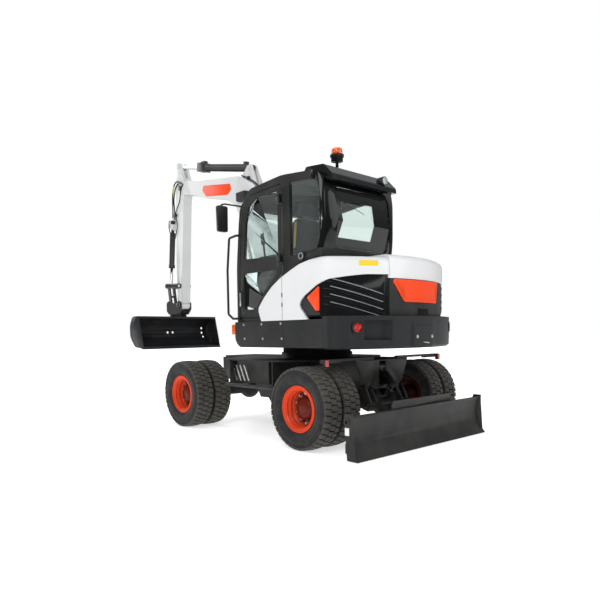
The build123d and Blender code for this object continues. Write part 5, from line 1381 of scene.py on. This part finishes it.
@dataclass
class DiggingArm:
    """Badge, hoses, pipes, clamps and pins of the boom, the arm and their cylinders."""

    middle: float = -100.0
    boom_face: float = -1.0
    foot: tuple[float, float] = (1340.0, 3440.0)
    eye: tuple[float, float] = (3140.0, 3835.0)
    pivot: tuple[float, float] = (3060.0, 3480.0)
    bucket_pin: tuple[float, float] = (3220.0, 1655.0)
    loop_spread: float = 26.0

    def build(self) -> None:
        """Make every piece."""
        self.badge()
        self.head()
        self.pipes()
        self.hoses()
        self.pins()

    def badge(self) -> None:
        """Blank six-cornered badges on both sides of the boom."""
        corners = [(1700, 3205), (1726, 3290), (2405, 3392), (2440, 3330), (2334, 3222), (1790, 3146)]
        sides = [([(x, self.boom_face, z) for x, z in corners], LEFT),
                 ([(x, 2 * self.middle - self.boom_face, z) for x, z in corners], RIGHT)]
        plates("boom_badges", Look.ORANGE, "boom", sides, 2.5, 1.0)

    def head(self) -> None:
        """Port block on the arm cylinder's barrel with its two fittings, and the port at its foot."""
        shell = bmesh.new()
        start = Vector((self.foot[0], 0, self.foot[1]))
        way = (Vector((self.eye[0], 0, self.eye[1])) - start).normalized()
        up = Vector((-way.z, 0, way.x))
        y = self.middle
        for near, far, low, high, half in ((1120, 1322, -64, 64, 62), (1160, 1230, 60, 96, 26),
                                           (1250, 1300, 60, 88, 18), (108, 190, 48, 84, 24)):
            corners = [start + way * u + up * v
                       for u, v in ((near, low), (far, low), (far, high), (near, high))]
            prism(shell, [at(c.x, y - half, c.z) for c in corners], Vector((0, 2 * half * MM, 0)), 7.0)
        place_shell("arm_cylinder_ports", shell, Look.BLACK, "arm_cylinder_barrel")

    def pipes(self) -> None:
        """Steel pipes along the boom's upper side, with their clamps."""
        run = [(905, 2480), (940, 2640), (990, 2830), (1062, 3020), (1165, 3165), (1330, 3272), (1500, 3345)]
        for index, y in enumerate((-172, -148, -52, -28)):
            hose(f"boom_pipe_{index}", [(x - 12, y, z + 12) for x, z in run], 9.0, "boom", Look.BLACK)
        shell = bmesh.new()
        for x, z in ((936, 2650), (1080, 3055), (1340, 3285)):
            block(shell, (x - 24, x + 14), (-190, -10), (z - 12, z + 30), 4.0)
        place_shell("pipe_clamps", shell, Look.PLASTIC, "boom")

    def hoses(self) -> None:
        """Hoses and a sleeve from the boom's nose to the arm, two hoses on the arm, and the arm's clamps."""
        # both routes start on the boom, loop before its nose and end at the arm's front
        wide = [(2950, 3500), (3080, 3590), (3200, 3600), (3262, 3520), (3300, 3380), (3340, 3200),
                (3352, 3060)]
        tight = [(2960, 3470), (3100, 3570), (3215, 3560), (3282, 3440), (3310, 3320), (3330, 3180),
                 (3338, 3040)]
        for index, (y, route) in enumerate(((-18, wide), (-44, tight), (-160, wide))):
            side = self.loop_spread if y > self.middle else -self.loop_spread
            points = [(x, y + side if 0 < place < len(route) - 2 else y, z)
                      for place, (x, z) in enumerate(route)]
            hose(f"arm_hose_{index}", points, 11.0, None,
                 across=("boom", "arm", (3000, y, 3560), (3290, y, 3420)))
        hose("nose_hose", [(2960, 10, 3530), (3030, 14, 3470), (3045, 14, 3371), (3080, 14, 3253),
                           (3175, 8, 3185), (3250, -8, 3112)], 9.0, None,
             across=("boom", "arm", (3060, 14, 3500), (3250, 14, 3260)))
        hose("elbow_hose_right", [(3240, -8, 3080), (3197, -8, 2978), (3210, -8, 2854), (3278, -14, 2776),
                                  (3350, -52, 2740)], 8.0, "arm")
        hose("elbow_hose_left", [(3378, -14, 3008), (3440, -8, 3040), (3470, -8, 2980), (3457, -8, 2872),
                                 (3405, -14, 2785), (3368, -52, 2735)], 8.0, "arm")
        hose("hose_sleeve", [(3247, 8, 3546), (3264, 8, 3500), (3280, 8, 3450)], 15.0, None, Look.SLEEVE,
             across=("boom", "arm", (3000, 8, 3560), (3290, 8, 3420)))
        shell = bmesh.new()
        for z in (3122, 2836):
            block(shell, (3262, 3320), (-150, -50), (z - 26, z + 26), 6.0)
        block(shell, (3223, 3291), (-27, 14), (3069, 3113), 5.0)
        block(shell, (3351, 3395), (-60, 8), (2971, 3023), 5.0)
        place_shell("arm_clamps", shell, Look.BLACK, "arm")

    def pins(self) -> None:
        """Keeper plates on the ends of the main pins."""
        for name, body, (x, z), y in (("boom_nose", "boom", self.pivot, 13.0),
                                      ("bucket", "arm", self.bucket_pin, 17.0)):
            turned(f"{name}_pin_plate", Look.BLACK, body, [(at(x, y - 2, z), LEFT)],
                   [(0, 0), (0, 40), (8, 40), (10, 36), (10, 0)])
            bolts(f"{name}_pin_bolt", body, [((x + 18, y + 8, z + 12), LEFT)], 15.0, 7.0)


@dataclass(frozen=True)
class Studio:
    """Camera, lights and floor around the machine."""

    camera_place: tuple[float, float, float] = (-6.0295, 4.823, 1.1676)
    yaw: float = -42.861
    pitch: float = -4.166
    roll: float = -0.775
    lens: float = 34.16
    sensor: float = 36.0
    sight: float = 500.0
    shift: tuple[float, float] = (-0.0102, 0.1248)
    floor_radius: float = 90.0
    floor_colour: str = "#f4f4f4"
    floor_patch_colour: str = "#e2e3e5"
    floor_patch_mm: float = 900.0
    sky_colour: str = "#f4f7fa"
    floor_glow: float = 0.6
    shadow_reach: float = 3.6
    white_from: float = 7.5
    # name, place, size and power of each soft box
    lamps: tuple[tuple[str, tuple[float, float, float], float, float], ...] = (
        ("key", (-5.0, 7.5, 6.5), 5.0, 300.0), ("fill", (-8.5, -3.0, 4.5), 5.0, 120.0),
        ("top", (0.0, 0.0, 9.5), 7.0, 280.0), ("front", (7.0, 2.0, 4.5), 4.0, 90.0))
    lamp_target: tuple[float, float, float] = (0.0, 0.0, 1.4)
    horizon_glow: float = 0.16
    zenith_glow: float = 0.6
    zenith_from: float = 0.8

    def build(self) -> None:
        """Set up the whole studio."""
        self.camera()
        self.floor()
        self.lights()

    def camera(self) -> None:
        """Camera at the photograph's viewpoint."""
        yaw, pitch, roll = (math.radians(angle) for angle in (self.yaw, self.pitch, self.roll))
        forward = Vector((math.cos(pitch) * math.cos(yaw), math.cos(pitch) * math.sin(yaw), math.sin(pitch)))
        right = forward.cross(Vector((0, 0, 1))).normalized()
        up = right.cross(forward)
        level_right = right * math.cos(roll) + up * math.sin(roll)
        level_up = up * math.cos(roll) - right * math.sin(roll)
        data = bpy.data.cameras.new("viewpoint")
        data.lens = self.lens
        data.sensor_width = self.sensor
        data.sensor_fit = "HORIZONTAL"
        data.shift_x, data.shift_y = self.shift
        data.clip_end = self.sight
        camera = bpy.data.objects.new("viewpoint", data)
        bpy.context.scene.collection.objects.link(camera)
        camera.matrix_world = Matrix.Translation(self.camera_place) @ Matrix(
            (level_right, level_up, -forward)).transposed().to_4x4()
        bpy.context.scene.camera = camera

    def floor(self) -> None:
        """Plain pale floor."""
        shell = bmesh.new()
        bmesh.ops.create_circle(shell, cap_ends=True, segments=96, radius=self.floor_radius)
        mesh = as_mesh(shell, "floor")
        material = bpy.data.materials.new("painted_concrete")
        material.use_nodes = True
        tree = material.node_tree
        tree.nodes.clear()
        place = add(tree, "ShaderNodeTexCoord").outputs["Object"]
        shade = blended(tree, uneven(tree, place, self.floor_patch_mm, 0.0, 0.06),
                        linear(self.floor_colour), linear(self.floor_patch_colour))
        reach = add(tree, "ShaderNodeVectorMath", {0: place}, operation="LENGTH").outputs["Value"]
        # the floor turns into plain white beyond the machine's shadow, as in a studio cove
        glow = between(tree, reach, self.shadow_reach, self.white_from, self.floor_glow, 1.0)
        inputs = {"Base Color": shade, "Roughness": 0.85, "Specular IOR Level": 0.1,
                  "Emission Color": WHITE_LIGHT, "Emission Strength": glow}
        shader = add(tree, "ShaderNodeBsdfPrincipled", inputs)
        add(tree, "ShaderNodeOutputMaterial", {"Surface": shader.outputs[0]})
        mesh.materials.append(material)
        floor = bpy.data.objects.new("floor", mesh)
        bpy.context.scene.collection.objects.link(floor)

    def lights(self) -> None:
        """Soft boxes and an even pale surround."""
        for name, place, size, power in self.lamps:
            data = bpy.data.lights.new(name, "AREA")
            data.shape = "DISK"
            data.size = size
            data.energy = power
            lamp = bpy.data.objects.new(name, data)
            bpy.context.scene.collection.objects.link(lamp)
            lamp.location = place
            way = Vector(self.lamp_target) - Vector(place)
            lamp.rotation_euler = way.to_track_quat("-Z", "Y").to_euler()
        world = bpy.data.worlds.new("surround")
        world.use_nodes = True
        tree = world.node_tree
        tree.nodes.clear()
        way = add(tree, "ShaderNodeTexCoord").outputs["Generated"]
        height = add(tree, "ShaderNodeSeparateXYZ", {0: way}).outputs[2]
        # dim near the horizon and bright overhead, so that dark gloss shows the room's shape
        strength = between(tree, height, 0.0, self.zenith_from, self.horizon_glow, self.zenith_glow)
        glow = add(tree, "ShaderNodeBackground", {"Color": linear(self.sky_colour), "Strength": strength})
        seen = add(tree, "ShaderNodeBackground", {"Color": WHITE_LIGHT, "Strength": 1.0})
        rays = add(tree, "ShaderNodeLightPath").outputs
        # the same white is seen straight and through the windows
        direct = computed(tree, "MAXIMUM", rays["Is Camera Ray"], rays["Is Transmission Ray"])
        both_skies = add(tree, "ShaderNodeMixShader", {0: direct, 1: glow.outputs[0], 2: seen.outputs[0]})
        add(tree, "ShaderNodeOutputWorld", {"Surface": both_skies.outputs[0]})
        bpy.context.scene.world = world
        bpy.context.scene.view_settings.view_transform = "Standard"


def main() -> None:
    """Load the frame, dress it and set up the studio."""
    logging.basicConfig(level=logging.INFO, format="%(name)s %(message)s")
    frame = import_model()
    record = frame["record"]
    bodies = {node: body for body, nodes in record["behaviour"]["bodies"].items() for node in nodes}
    slots = {part["node"]: part["material_slot"] for part in record["subparts"]}
    Studio().build()
    Panels().build(frame["nodes"], bodies, slots)
    for group in (TwinWheels(), Undercarriage(), House(), Cab(), DiggingArm()):
        group.build()


if __name__ == "__main__":
    main()
